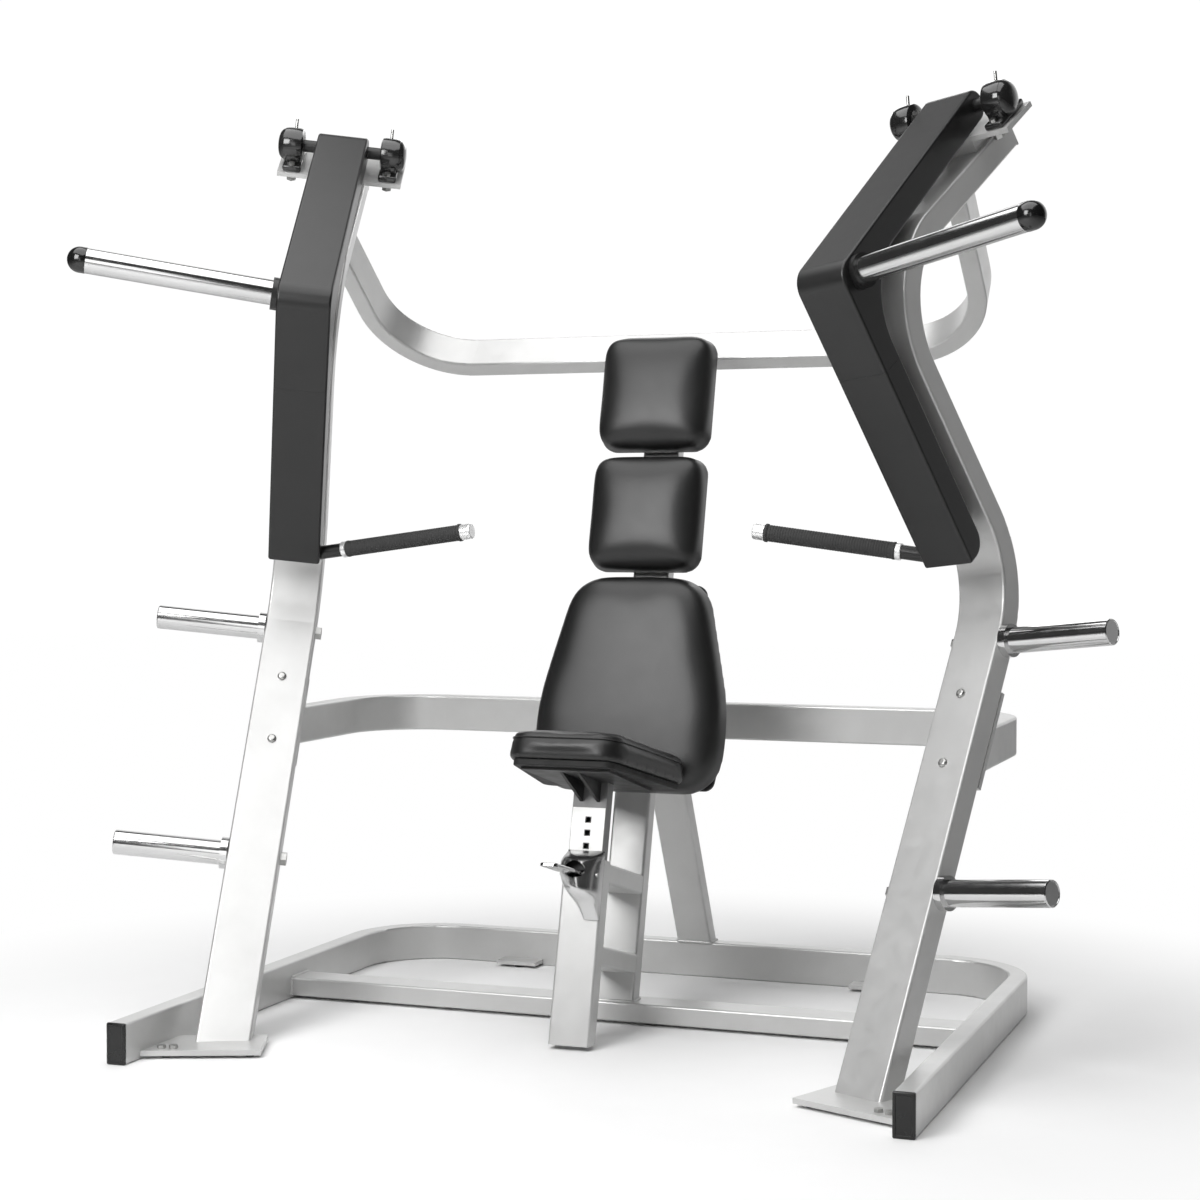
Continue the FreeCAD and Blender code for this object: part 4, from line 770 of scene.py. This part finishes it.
# ------------------------------------------------------------------ press arms
@dataclass
class PressArm:
    """Handle grip, loading horn and ends of one press arm."""

    side: Side
    grip_radius: float = 0.016
    horn_radius: float = 0.024

    def build(self) -> list[bpy.types.Object]:
        """Make the arm's turned pieces.

        Returns:
            The pieces.
        """
        return [self.grip(), self.rings(), self.horn(), self.horn_cap()]

    def line(self, node: str) -> tuple[Vector, Vector]:
        """Axis of a round node, from its inner to its outer end.

        Args:
            node: Name of the node.

        Returns:
            The two ends of its axis.
        """
        points = [v.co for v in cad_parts[node].data.vertices]
        sign = self.side.value
        middle = sum(points, Vector()) / len(points)
        spread = max(points, key=lambda p: (p - middle).length)
        heading = (spread - middle).normalized()
        for _ in range(12):
            pull = Vector()
            for p in points:
                pull += (p - middle) * (p - middle).dot(heading)
            heading = pull.normalized()
        if heading.x * sign < 0:
            heading.negate()
        runs = [(p - middle).dot(heading) for p in points]
        return middle + heading * min(runs), middle + heading * max(runs)

    def grip(self) -> bpy.types.Object:
        """Ribbed rubber grip with a flange at each end."""
        inner, outer = self.line(f"grip_{self.side.word}")
        long = (outer - inner).length
        core, radius = 0.0121, self.grip_radius
        profile = [(core, 0.0), (radius * 1.06, 0.0), (radius * 1.1, 0.0015), (radius * 1.1, 0.005),
                   (radius * 0.98, 0.0068)]
        ribs = 46
        for index in range(ribs):
            low = 0.008 + (long - 0.016) * index / ribs
            step = (long - 0.016) / ribs
            profile += [(radius * 0.955, low), (radius, low + step * 0.3), (radius, low + step * 0.7)]
        profile += [(radius * 0.98, long - 0.0068), (radius * 1.04, long - 0.005), (radius * 1.04, long - 0.0015),
                    (radius, long), (core, long), (core, 0.0)]
        bm = turned(profile, 36)
        moved(bm, along((outer - inner).normalized(), inner))
        return make_piece(bm, f"hand_grip_{self.side.word}", RUBBER, self.side.arm,
                          (f"grip_{self.side.word}",), 40.0)

    def rings(self) -> bpy.types.Object:
        """Bright collar and rounded end cap of the handle."""
        inner, outer = self.line(f"grip_{self.side.word}")
        heading = (outer - inner).normalized()
        collar = turned([(0.0121, -0.0), (0.0155, 0.0), (0.0165, 0.001), (0.0165, 0.0095), (0.0150, 0.011),
                         (0.0121, 0.011), (0.0121, 0.0)], 36)
        moved(collar, along(heading, outer))
        cap = turned([(0.0, 0.0), (0.0150, 0.0), (0.0155, 0.0008), (0.0155, 0.002), (0.0155, 0.018),
                      (0.0155, 0.0205), (0.0148, 0.0222), (0.0136, 0.023), (0.0, 0.023)], 36)
        moved(cap, along(-heading, inner))
        return make_piece(merge(collar, cap), f"handle_trim_{self.side.word}", ALUMINIUM, self.side.arm,
                          (f"handle_rings_{self.side.word}",))

    def horn(self) -> bpy.types.Object:
        """Chromed loading horn."""
        root, tip = self.line(f"arm_horn_{self.side.word}")
        root = self.root(tip, root)
        long = (tip - root).length
        radius = self.horn_radius
        bm = turned([(0.0, 0.0), (radius, 0.0), (radius, 0.004), (radius, long - 0.004), (radius, long - 0.001),
                     (radius * 0.97, long), (0.0, long)], 56)
        moved(bm, along((tip - root).normalized(), root))
        return make_piece(bm, f"loading_horn_{self.side.word}", CHROME, self.side.arm,
                          (f"arm_horn_{self.side.word}",))

    def root(self, tip: Vector, near: Vector) -> Vector:
        """Where the horn's axis meets the arm's face."""
        low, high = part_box(f"arm_horn_{self.side.word}_cap")
        cap = (low + high) / 2
        heading = (cap - near).normalized()
        return tip - heading * 0.376

    def horn_cap(self) -> bpy.types.Object:
        """Domed rubber end of the loading horn, with a short skirt."""
        root, tip = self.line(f"arm_horn_{self.side.word}")
        heading = (tip - self.root(tip, root)).normalized()
        radius = self.horn_radius
        dome = [(radius * 1.03 * math.cos(math.radians(a)), radius * math.sin(math.radians(a)))
                for a in range(0, 91, 9)]
        bm = turned([(0.0, -0.012), (radius * 1.005, -0.012), (radius * 1.03, -0.011)] + dome[:-1]
                    + [(0.0, radius)], 48)
        moved(bm, along(heading, tip))
        return make_piece(bm, f"horn_end_{self.side.word}", GLOSS_RUBBER, self.side.arm,
                          (f"arm_horn_{self.side.word}_cap",))


# ------------------------------------------------------------------ pivots
@dataclass
class Pivot:
    """Cast bearing housings on one side, with their domed covers."""

    side: Side
    back: float = 0.192
    up: float = 1.766
    heading: tuple[float, float] = (0.8232, 0.5677)
    offset: float = 0.099
    wide: float = 0.038
    height: float = 0.038
    long: float = 0.100
    radius: float = 0.035

    def build(self) -> bmesh.types.BMesh:
        """Make both housings of this side, in place.

        Returns:
            The mesh.
        """
        parts = []
        for middle in (-self.offset, self.offset):
            sign = 1.0 if middle > 0 else -1.0
            r, w = self.radius, self.wide
            barrel = turned([(0.0, -w / 2), (r * 0.8, -w / 2), (r * 0.96, -w / 2 + 0.003), (r, -w / 2 + 0.009),
                             (r, w / 2 - 0.012), (r * 0.985, w / 2 - 0.005), (r * 0.94, w / 2 + 0.001),
                             (r * 0.92, w / 2 + 0.0012), (r * 0.86, w / 2 + 0.006), (r * 0.72, w / 2 + 0.0105),
                             (r * 0.5, w / 2 + 0.0135), (r * 0.25, w / 2 + 0.0147), (0.0, w / 2 + 0.015)], 48)
            moved(barrel, Matrix.Diagonal((1, 1, sign, 1)))
            if sign < 0:
                bmesh.ops.reverse_faces(barrel, faces=barrel.faces)
            moved(barrel, Matrix.Translation((0, 0, middle)))
            foot = block((self.long, self.height / 3, w), (0, -self.height * 5 / 6, middle), 0.004)
            web = block((2 * r * 0.93, self.height * 0.8, w * 0.84), (0, -self.height * 0.55, middle), 0.005)
            parts += [barrel, foot, web]
        joined = merge(*parts)
        head, lift = self.heading
        turn = Matrix(((0, 0, 1, 0), (head, -lift, 0, self.back), (lift, head, 0, self.up), (0, 0, 0, 1)))
        moved(joined, turn)
        SIDE_PLANE.put(joined, self.side)
        return joined


# ------------------------------------------------------------------ frame details
@dataclass
class StorageHorns:
    """Chromed plate horns on the uprights, with a chamfered outer end."""

    radius: float = 0.024
    long: float = 0.222
    foot: tuple[float, float] = (-0.323, 0.016)
    knee: tuple[float, float] = (0.215, 0.883)
    spots: tuple[float, ...] = (0.372, 0.880)
    half_wide: float = 0.051

    def build(self) -> bpy.types.Object:
        """Make the four horns.

        Returns:
            The piece.
        """
        foot, knee = Vector((0, *self.foot)), Vector((0, *self.knee))
        heading = (knee - foot).normalized()
        parts = []
        for side in Side:
            for spot in self.spots:
                r, long = self.radius, self.long
                horn = turned([(0.0, 0.0), (r, 0.0), (r, 0.004), (r, long - 0.005), (r, long - 0.0016),
                               (r * 0.94, long), (r * 0.86, long),
                               (r * 0.84, long - 0.0008), (0.0, long - 0.0008)], 48)
                root = foot + heading * spot + Vector((self.half_wide, 0, 0))
                moved(horn, along(Vector((1, 0, 0)), root))
                SIDE_PLANE.put(horn, side)
                parts.append(horn)
        return make_piece(merge(*parts), "plate_horns", CHROME, "frame", ("storage_horns",))


@dataclass
class Frame:
    """End caps of the base tube and weld beads of the frame."""

    half_wide: float = 0.745
    front: float = -0.590
    tube_wide: float = 0.038
    tube_tall: float = 0.076
    cap_thick: float = 0.009
    cap_lip: float = 0.003
    cap_sink: float = 0.0012
    strut_foot: float = 0.043
    rear_foot: float = 0.0392
    bead: float = 0.0034

    def end_caps(self) -> bpy.types.Object:
        """Moulded caps on the front ends of the base tube.

        Returns:
            The piece.
        """
        parts = []
        for side in Side:
            x = side.value * (self.half_wide - self.tube_wide / 2)
            centre = (x, self.front + 0.0005, self.tube_tall / 2)
            face = block((self.tube_wide, self.cap_thick, self.tube_tall), centre, self.cap_lip, 4)
            front = min(face.faces, key=lambda f: f.calc_center_median().y)
            bmesh.ops.inset_region(face, faces=[front], thickness=self.cap_lip, depth=0.0)
            bmesh.ops.inset_region(face, faces=[front], thickness=self.cap_sink, depth=-self.cap_sink)
            parts.append(face)
        return make_piece(merge(*parts), "base_tube_caps", PLASTIC, "frame", ("base_end_caps",))

    def welds(self) -> bpy.types.Object:
        """Weld beads where the frame's tubes meet.

        Returns:
            The piece.
        """
        inner = self.half_wide - self.tube_wide
        half = self.tube_tall / 2
        low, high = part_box("front_cross_bar")
        seams: list[tuple[Vector, Vector]] = []
        for x in (-inner, inner):
            seams += [(Vector((x, low.y, high.z)), Vector((x, high.y, high.z))),
                      (Vector((x, low.y, low.z)), Vector((x, low.y, high.z))),
                      (Vector((x, high.y, low.z)), Vector((x, high.y, high.z)))]
        post_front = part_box("rear_post")[0].y
        post_rear = post_front + self.rear_foot
        for x in (-half, half):
            seams.append((Vector((x, post_front, high.z)), Vector((x, post_rear, high.z))))
        for y in (post_front, post_rear):
            seams.append((Vector((-half, y, high.z)), Vector((half, y, high.z))))
        strut_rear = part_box("rear_strut")[1].y
        strut_front = strut_rear - self.strut_foot
        top = self.tube_tall
        seams.append((Vector((-half, strut_front, top)), Vector((half, strut_front, top))))
        for x in (-half, half):
            seams.append((Vector((x, strut_front, top)), Vector((x, strut_rear, top))))
        beads = [weld_bead(a, b, self.bead, index) for index, (a, b) in enumerate(seams)]
        return make_piece(merge(*beads), "frame_welds", SILVER, "frame", (), 60.0)

    def build(self) -> list[bpy.types.Object]:
        """Make the caps and welds.

        Returns:
            The pieces.
        """
        return [self.end_caps(), self.welds()]


def eased(stops: Sequence[tuple[float, float]], at: float) -> float:
    """Value at a place on a smooth curve through stops.

    Args:
        stops: Places and values, in order.
        at: Place to read.

    Returns:
        The value there.
    """
    slopes = [(after[1] - before[1]) / (after[0] - before[0]) for before, after in zip(stops, stops[1:])]
    lean = [slopes[0]] + [(a + b) / 2 for a, b in zip(slopes, slopes[1:])] + [slopes[-1]]
    for index, ((low, first), (high, last)) in enumerate(zip(stops, stops[1:])):
        if at <= high:
            span = high - low
            t = max(min((at - low) / span, 1.0), 0.0)
            return (first * (1 + 2 * t) * (1 - t) ** 2 + last * t * t * (3 - 2 * t)
                    + span * t * (1 - t) * (lean[index] * (1 - t) - lean[index + 1] * t))
    return stops[-1][1]


@dataclass
class Latch:
    """Seat latch: a flowing chromed cowl on the post, a paddle lever and the indexing strip of the seat tube."""

    top: float = 0.374
    fall: float = 0.130
    half: float = 0.0412
    thick: float = 0.0024
    mouth: tuple[tuple[float, float], tuple[float, float]] = ((-0.02, 0.19), (0.25, 0.13))
    hinge: tuple[float, float] = (-0.020, 0.327)
    lever_long: float = 0.163
    hole: float = 0.0125
    first_hole: float = 0.433
    pitch: float = 0.025
    holes: int = 8
    strip_wide: float = 0.066
    strip_above: float = 0.023
    strip_below: float = 0.015

    def build(self) -> list[bpy.types.Object]:
        """Make the latch's pieces.

        Returns:
            The pieces.
        """
        return [self.cowl(), self.throat_shade(), self.lever(), self.strip()]

    def skin(self) -> bmesh.types.BMesh:
        """Flowing front of the cowl in the column's frame, with its mouth left open.

        Returns:
            The open surface.
        """
        left = ((0.0, -0.033), (0.18, -self.half), (0.4, -0.039), (0.6, -0.026), (0.8, -0.004), (1.0, 0.010))
        reach = ((0.0, 0.0), (0.10, 0.034), (0.28, 0.050), (0.5, 0.0505), (0.62, 0.047), (0.78, 0.024),
                 (1.0, 0.005))
        bm = bmesh.new()
        bmesh.ops.create_grid(bm, x_segments=48, y_segments=56, size=0.5)
        gone = [f for f in bm.faces if self.in_mouth(*f.calc_center_median().xy)]
        bmesh.ops.delete(bm, geom=gone, context="FACES")
        for vert in bm.verts:
            u, v = vert.co.x + 0.5, 0.5 - vert.co.y
            low = eased(left, v)
            swell = math.sin(math.pi * u ** 0.85) ** 0.5 if 0.0 < u < 1.0 else 0.0
            vert.co = Vector((low + (self.half - low) * u,
                              -eased(reach, v) * swell,
                              self.top - self.fall * v))
        bmesh.ops.recalc_face_normals(bm, faces=bm.faces)
        if sum(f.normal.y for f in bm.faces) > 0:
            bmesh.ops.reverse_faces(bm, faces=bm.faces)
        return bm

    def in_mouth(self, x: float, y: float) -> bool:
        """Whether a place on the unit skin lies in the cowl's mouth."""
        (middle_x, middle_y), (wide, tall) = self.mouth
        return ((x - middle_x) / wide) ** 2 + ((y - middle_y) / tall) ** 2 < 1.0

    def cowl(self) -> bpy.types.Object:
        """Chromed cowl with its mouth."""
        bm = self.skin()
        bmesh.ops.solidify(bm, geom=list(bm.faces), thickness=self.thick)
        bmesh.ops.recalc_face_normals(bm, faces=bm.faces)
        bmesh.ops.transform(bm, matrix=COLUMN.matrix(), verts=bm.verts)
        return make_piece(bm, "latch_shell", SATIN_CHROME, "frame", ("latch_cowl",), 50.0)

    def throat_shade(self) -> bpy.types.Object:
        """Black block behind the mouth, painted shade for the dark hollow seen through it."""
        # Painted shade: this satin black block stands for the shadowed hollow inside the cowl.
        bm = block((0.044, 0.018, 0.026), (-0.010, -0.010, self.top - 0.032), 0.004)
        bmesh.ops.transform(bm, matrix=COLUMN.matrix(), verts=bm.verts)
        return make_piece(bm, "latch_throat_painted_shade", SATIN_BLACK, "frame")

    def lever(self) -> bpy.types.Object:
        """Polished paddle with a hub round its hinge."""
        behind, up = self.hinge
        long = self.lever_long
        outline = [(-0.012, 0.0), (0.012, 0.0), (0.019, long * 0.45), (0.017, long), (-0.017, long),
                   (-0.019, long * 0.45)]
        blade = slab(outline, 0.0065, 0.008, 0.0022, 6, 3)
        moved(blade, Matrix.Translation((0, behind, up - 0.00325)) @ Matrix.Rotation(math.pi, 4, "Z"))
        hub = turned([(0.0, -0.017), (0.0070, -0.017), (0.0080, -0.016), (0.0080, 0.016), (0.0070, 0.017),
                      (0.0, 0.017)], 32)
        moved(hub, Matrix.Translation((0, behind, up)) @ Matrix.Rotation(math.pi / 2, 4, "Y"))
        joined = merge(blade, hub)
        bmesh.ops.transform(joined, matrix=COLUMN.matrix(), verts=joined.verts)
        return make_piece(joined, "latch_paddle", CHROME, "latch_lever", ("latch_lever",))

    def strip(self) -> bpy.types.Object:
        """Bright indexing strip on the front of the seat tube, with its square holes."""
        high = self.first_hole + self.strip_above
        low = self.first_hole - self.pitch * (self.holes - 1) - self.strip_below
        bm = bmesh.new()
        bmesh.ops.create_grid(bm, x_segments=1, y_segments=1, size=0.5)
        bmesh.ops.scale(bm, vec=(self.strip_wide, high - low, 1.0), verts=bm.verts)
        bmesh.ops.translate(bm, vec=(0, (high + low) / 2, 0), verts=bm.verts)
        cuts = [(Vector((x, 0, 0)), Vector((1, 0, 0))) for x in (-self.hole / 2, self.hole / 2)]
        for index in range(self.holes):
            middle = self.first_hole - index * self.pitch
            cuts += [(Vector((0, middle + edge * self.hole / 2, 0)), Vector((0, 1, 0))) for edge in (-1, 1)]
        for spot, normal in cuts:
            bmesh.ops.bisect_plane(bm, geom=bm.verts[:] + bm.edges[:] + bm.faces[:], plane_co=spot,
                                   plane_no=normal)
        gone = []
        for face in bm.faces:
            centre = face.calc_center_median()
            steps = (self.first_hole - centre.y) / self.pitch
            near = abs(steps - round(steps)) * self.pitch < self.hole / 2
            if abs(centre.x) < self.hole / 2 and near:
                gone.append(face)
        bmesh.ops.delete(bm, geom=gone, context="FACES")
        bmesh.ops.solidify(bm, geom=list(bm.faces), thickness=0.0008)
        bmesh.ops.recalc_face_normals(bm, faces=bm.faces)
        stand = Matrix.Translation((0, 0.0035, 0)) @ Matrix.Rotation(math.pi / 2, 4, "X")
        bmesh.ops.transform(bm, matrix=COLUMN.matrix() @ stand, verts=bm.verts)
        return make_piece(bm, "index_strip", BRIGHT, "seat")


DRESSING: dict[str, tuple[Finish, tuple[str, ...]]] = {
    "frame": (SILVER, ("base_tube", "front_cross_bar", "foot_plates", "upright_left", "upright_right",
                       "middle_tube", "middle_flanges", "upper_tube", "front_post", "rear_post", "post_rungs",
                       "rear_strut", "head_plates", "crown_caps", "pivot_saddles")),
    # The seat tube wears the dark grey painted shade of the seat's shadow.
    "seat_frame": (SEAT_TUBE_SHADE, ("seat_tube",)),
    "underframe": (SATIN_BLACK, ("pad_brackets", "seat_bracket")),
    "arms": (CHARCOAL, ("arm_upper_left", "arm_upper_right", "arm_lower_left", "arm_lower_right",
                        "arm_horn_left_collar", "arm_horn_right_collar", "handle_bar_left",
                        "handle_bar_right", "pivot_shaft_left", "pivot_shaft_right")),
    "chrome": (CHROME, ("latch_cowl", "latch_lever", "storage_horn_collars", "storage_horns", "arm_horn_left",
                        "arm_horn_right")),
    "steel": (STEEL, ("storage_horn_nuts", "middle_tube_bolts", "plate_bolts", "block_bolts",
                      "latch_hinge_pin", "latch_pin",
                      "bearing_inserts", "grease_nipples")),
    "aluminium": (ALUMINIUM, ("handle_rings_left", "handle_rings_right")),
    "iron": (IRON, ("bearing_blocks", "bumper_cups")),
    "plastic": (PLASTIC, ("base_end_caps", "bearing_covers")),
    "rubber": (RUBBER, ("grip_left", "grip_right", "arm_horn_left_cap", "arm_horn_right_cap", "floor_pads",
                        "rest_bumpers")),
    "vinyl": (VINYL, ("seat_pad", "back_pad", "middle_pad", "head_pad")),
    "boards": (BOARD, ("seat_board", "pad_boards")),
}


def dress_nodes() -> None:
    """Give every carried-over node its finish."""
    left = set(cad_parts)
    for finish, names in DRESSING.values():
        for name in names:
            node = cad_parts[name]
            node.data.materials.clear()
            node.data.materials.append(finish.material())
            left.discard(name)
    if left:
        raise RuntimeError(f"nodes without a finish: {sorted(left)}")


# ------------------------------------------------------------------ studio
@dataclass(frozen=True)
class Studio:
    """Pale floor and surroundings, soft lamps and the camera."""

    camera_at: tuple[float, float, float] = (1.5485, -4.1808, 0.9771)
    azimuth: float = 20.453
    pitch: float = -1.853
    lens: float = 69.35
    glow_from: float = 0.8
    glow_to: float = 1.8
    dim: float = 0.04
    white: float = 1.02

    def camera(self) -> None:
        """Place the camera."""
        data = bpy.data.cameras.new("view")
        data.lens = self.lens
        data.sensor_width = 36.0
        data.clip_end = 60.0
        view = bpy.data.objects.new("view", data)
        turn, tip = math.radians(self.azimuth), math.radians(self.pitch)
        ahead = Vector((-math.sin(turn) * math.cos(tip), math.cos(turn) * math.cos(tip), math.sin(tip)))
        view.location = self.camera_at
        view.rotation_mode = "QUATERNION"
        view.rotation_quaternion = ahead.to_track_quat("-Z", "Y")
        bpy.context.scene.collection.objects.link(view)
        bpy.context.scene.camera = view

    def lamp(self, name: str, at: tuple[float, float, float], towards: tuple[float, float, float],
             size: tuple[float, float], power: float) -> None:
        """Add a soft rectangular lamp.

        Args:
            name: Name of the lamp.
            at: Where it hangs.
            towards: Point it faces.
            size: Its two sides.
            power: Its power in watts.
        """
        data = bpy.data.lights.new(name, "AREA")
        data.shape = "RECTANGLE"
        data.size, data.size_y = size
        data.energy = power
        lamp = bpy.data.objects.new(name, data)
        lamp.location = at
        lamp.rotation_mode = "QUATERNION"
        lamp.rotation_quaternion = (Vector(towards) - Vector(at)).to_track_quat("-Z", "Y")
        bpy.context.scene.collection.objects.link(lamp)

    def sweep(self) -> None:
        """Lay the pale floor, which brightens to the backdrop's white away from the machine."""
        bm = bmesh.new()
        bmesh.ops.create_grid(bm, x_segments=2, y_segments=2, size=14.0)
        mesh = bpy.data.meshes.new("studio_floor")
        bm.to_mesh(mesh)
        bm.free()
        made = FLOOR.material()
        tree = made.node_tree
        place = tree.nodes.new("ShaderNodeTexCoord")
        away = tree.nodes.new("ShaderNodeVectorMath")
        away.operation = "LENGTH"
        seen = tree.nodes.new("ShaderNodeLightPath")
        share = tree.nodes.new("ShaderNodeMath")
        share.operation = "MULTIPLY"
        ramp = tree.nodes.new("ShaderNodeMapRange")
        ramp.interpolation_type = "SMOOTHSTEP"
        ramp.inputs["From Min"].default_value = self.glow_from
        ramp.inputs["From Max"].default_value = self.glow_to
        glow = tree.nodes.new("ShaderNodeEmission")
        mix = tree.nodes.new("ShaderNodeMixShader")
        tree.links.new(place.outputs["Object"], away.inputs[0])
        tree.links.new(away.outputs["Value"], ramp.inputs["Value"])
        tree.links.new(ramp.outputs["Result"], share.inputs[0])
        tree.links.new(seen.outputs["Is Camera Ray"], share.inputs[1])
        tree.links.new(share.outputs["Value"], mix.inputs["Fac"])
        tree.links.new(tree.nodes["Principled BSDF"].outputs["BSDF"], mix.inputs[1])
        tree.links.new(glow.outputs["Emission"], mix.inputs[2])
        tree.links.new(mix.outputs["Shader"], tree.nodes["Material Output"].inputs["Surface"])
        mesh.materials.append(made)
        floor = bpy.data.objects.new("studio_floor", mesh)
        bpy.context.scene.collection.objects.link(floor)

    def world(self) -> None:
        """White surroundings that light the machine from behind more than from the front."""
        world = bpy.data.worlds.new("studio")
        world.use_nodes = True
        tree = world.node_tree
        sky = tree.nodes["Background"]
        place = tree.nodes.new("ShaderNodeTexCoord")
        split = tree.nodes.new("ShaderNodeSeparateXYZ")
        ramp = tree.nodes.new("ShaderNodeMapRange")
        ramp.interpolation_type = "SMOOTHSTEP"
        ramp.inputs["From Min"].default_value = 0.5
        ramp.inputs["From Max"].default_value = 0.8
        ramp.inputs["To Min"].default_value = self.dim
        ramp.inputs["To Max"].default_value = self.white
        tree.links.new(place.outputs["Generated"], split.inputs["Vector"])
        tree.links.new(split.outputs["Y"], ramp.inputs["Value"])
        seen = tree.nodes.new("ShaderNodeLightPath")
        most = tree.nodes.new("ShaderNodeMath")
        most.operation = "MAXIMUM"
        tree.links.new(ramp.outputs["Result"], most.inputs[0])
        tree.links.new(seen.outputs["Is Camera Ray"], most.inputs[1])
        tree.links.new(most.outputs["Value"], sky.inputs["Strength"])
        sky.inputs["Color"].default_value = (1.0, 1.0, 1.0, 1.0)
        bpy.context.scene.world = world

    def build(self) -> None:
        """Set the studio up."""
        self.camera()
        self.sweep()
        self.world()
        bpy.context.scene.view_settings.view_transform = "Standard"
        self.lamp("overhead", (-0.2, -0.9, 4.2), (0.0, -0.1, 0.6), (4.6, 3.6), 130.0)
        self.lamp("key", (-0.9, -2.9, 2.3), (0.0, 0.0, 0.9), (1.5, 1.6), 76.0)
        self.lamp("fill", (1.0, -5.2, 1.4), (0.0, 0.0, 0.9), (0.8, 2.2), 10.0)
        self.lamp("rear", (-0.6, 3.4, 3.2), (0.0, 0.3, 0.9), (2.6, 1.2), 20.0)


def main() -> None:
    """Build the pieces in order and report each."""
    logging.basicConfig(level=logging.INFO, format="%(message)s")
    Studio().build()
    dress_nodes()
    made = Frame().build()
    made.append(StorageHorns().build())
    housings = merge(*(Pivot(side).build() for side in Side))
    made.append(make_piece(housings, "bearing_housings", IRON, "frame",
                           ("bearing_blocks", "bearing_covers")))
    for side in Side:
        made += PressArm(side).build()
    made += Latch().build()
    made += Upholstery().build()
    for piece in made:
        LOG.info("made %s, %d faces", piece.name, len(piece.data.polygons))


if __name__ == "__main__":
    main()
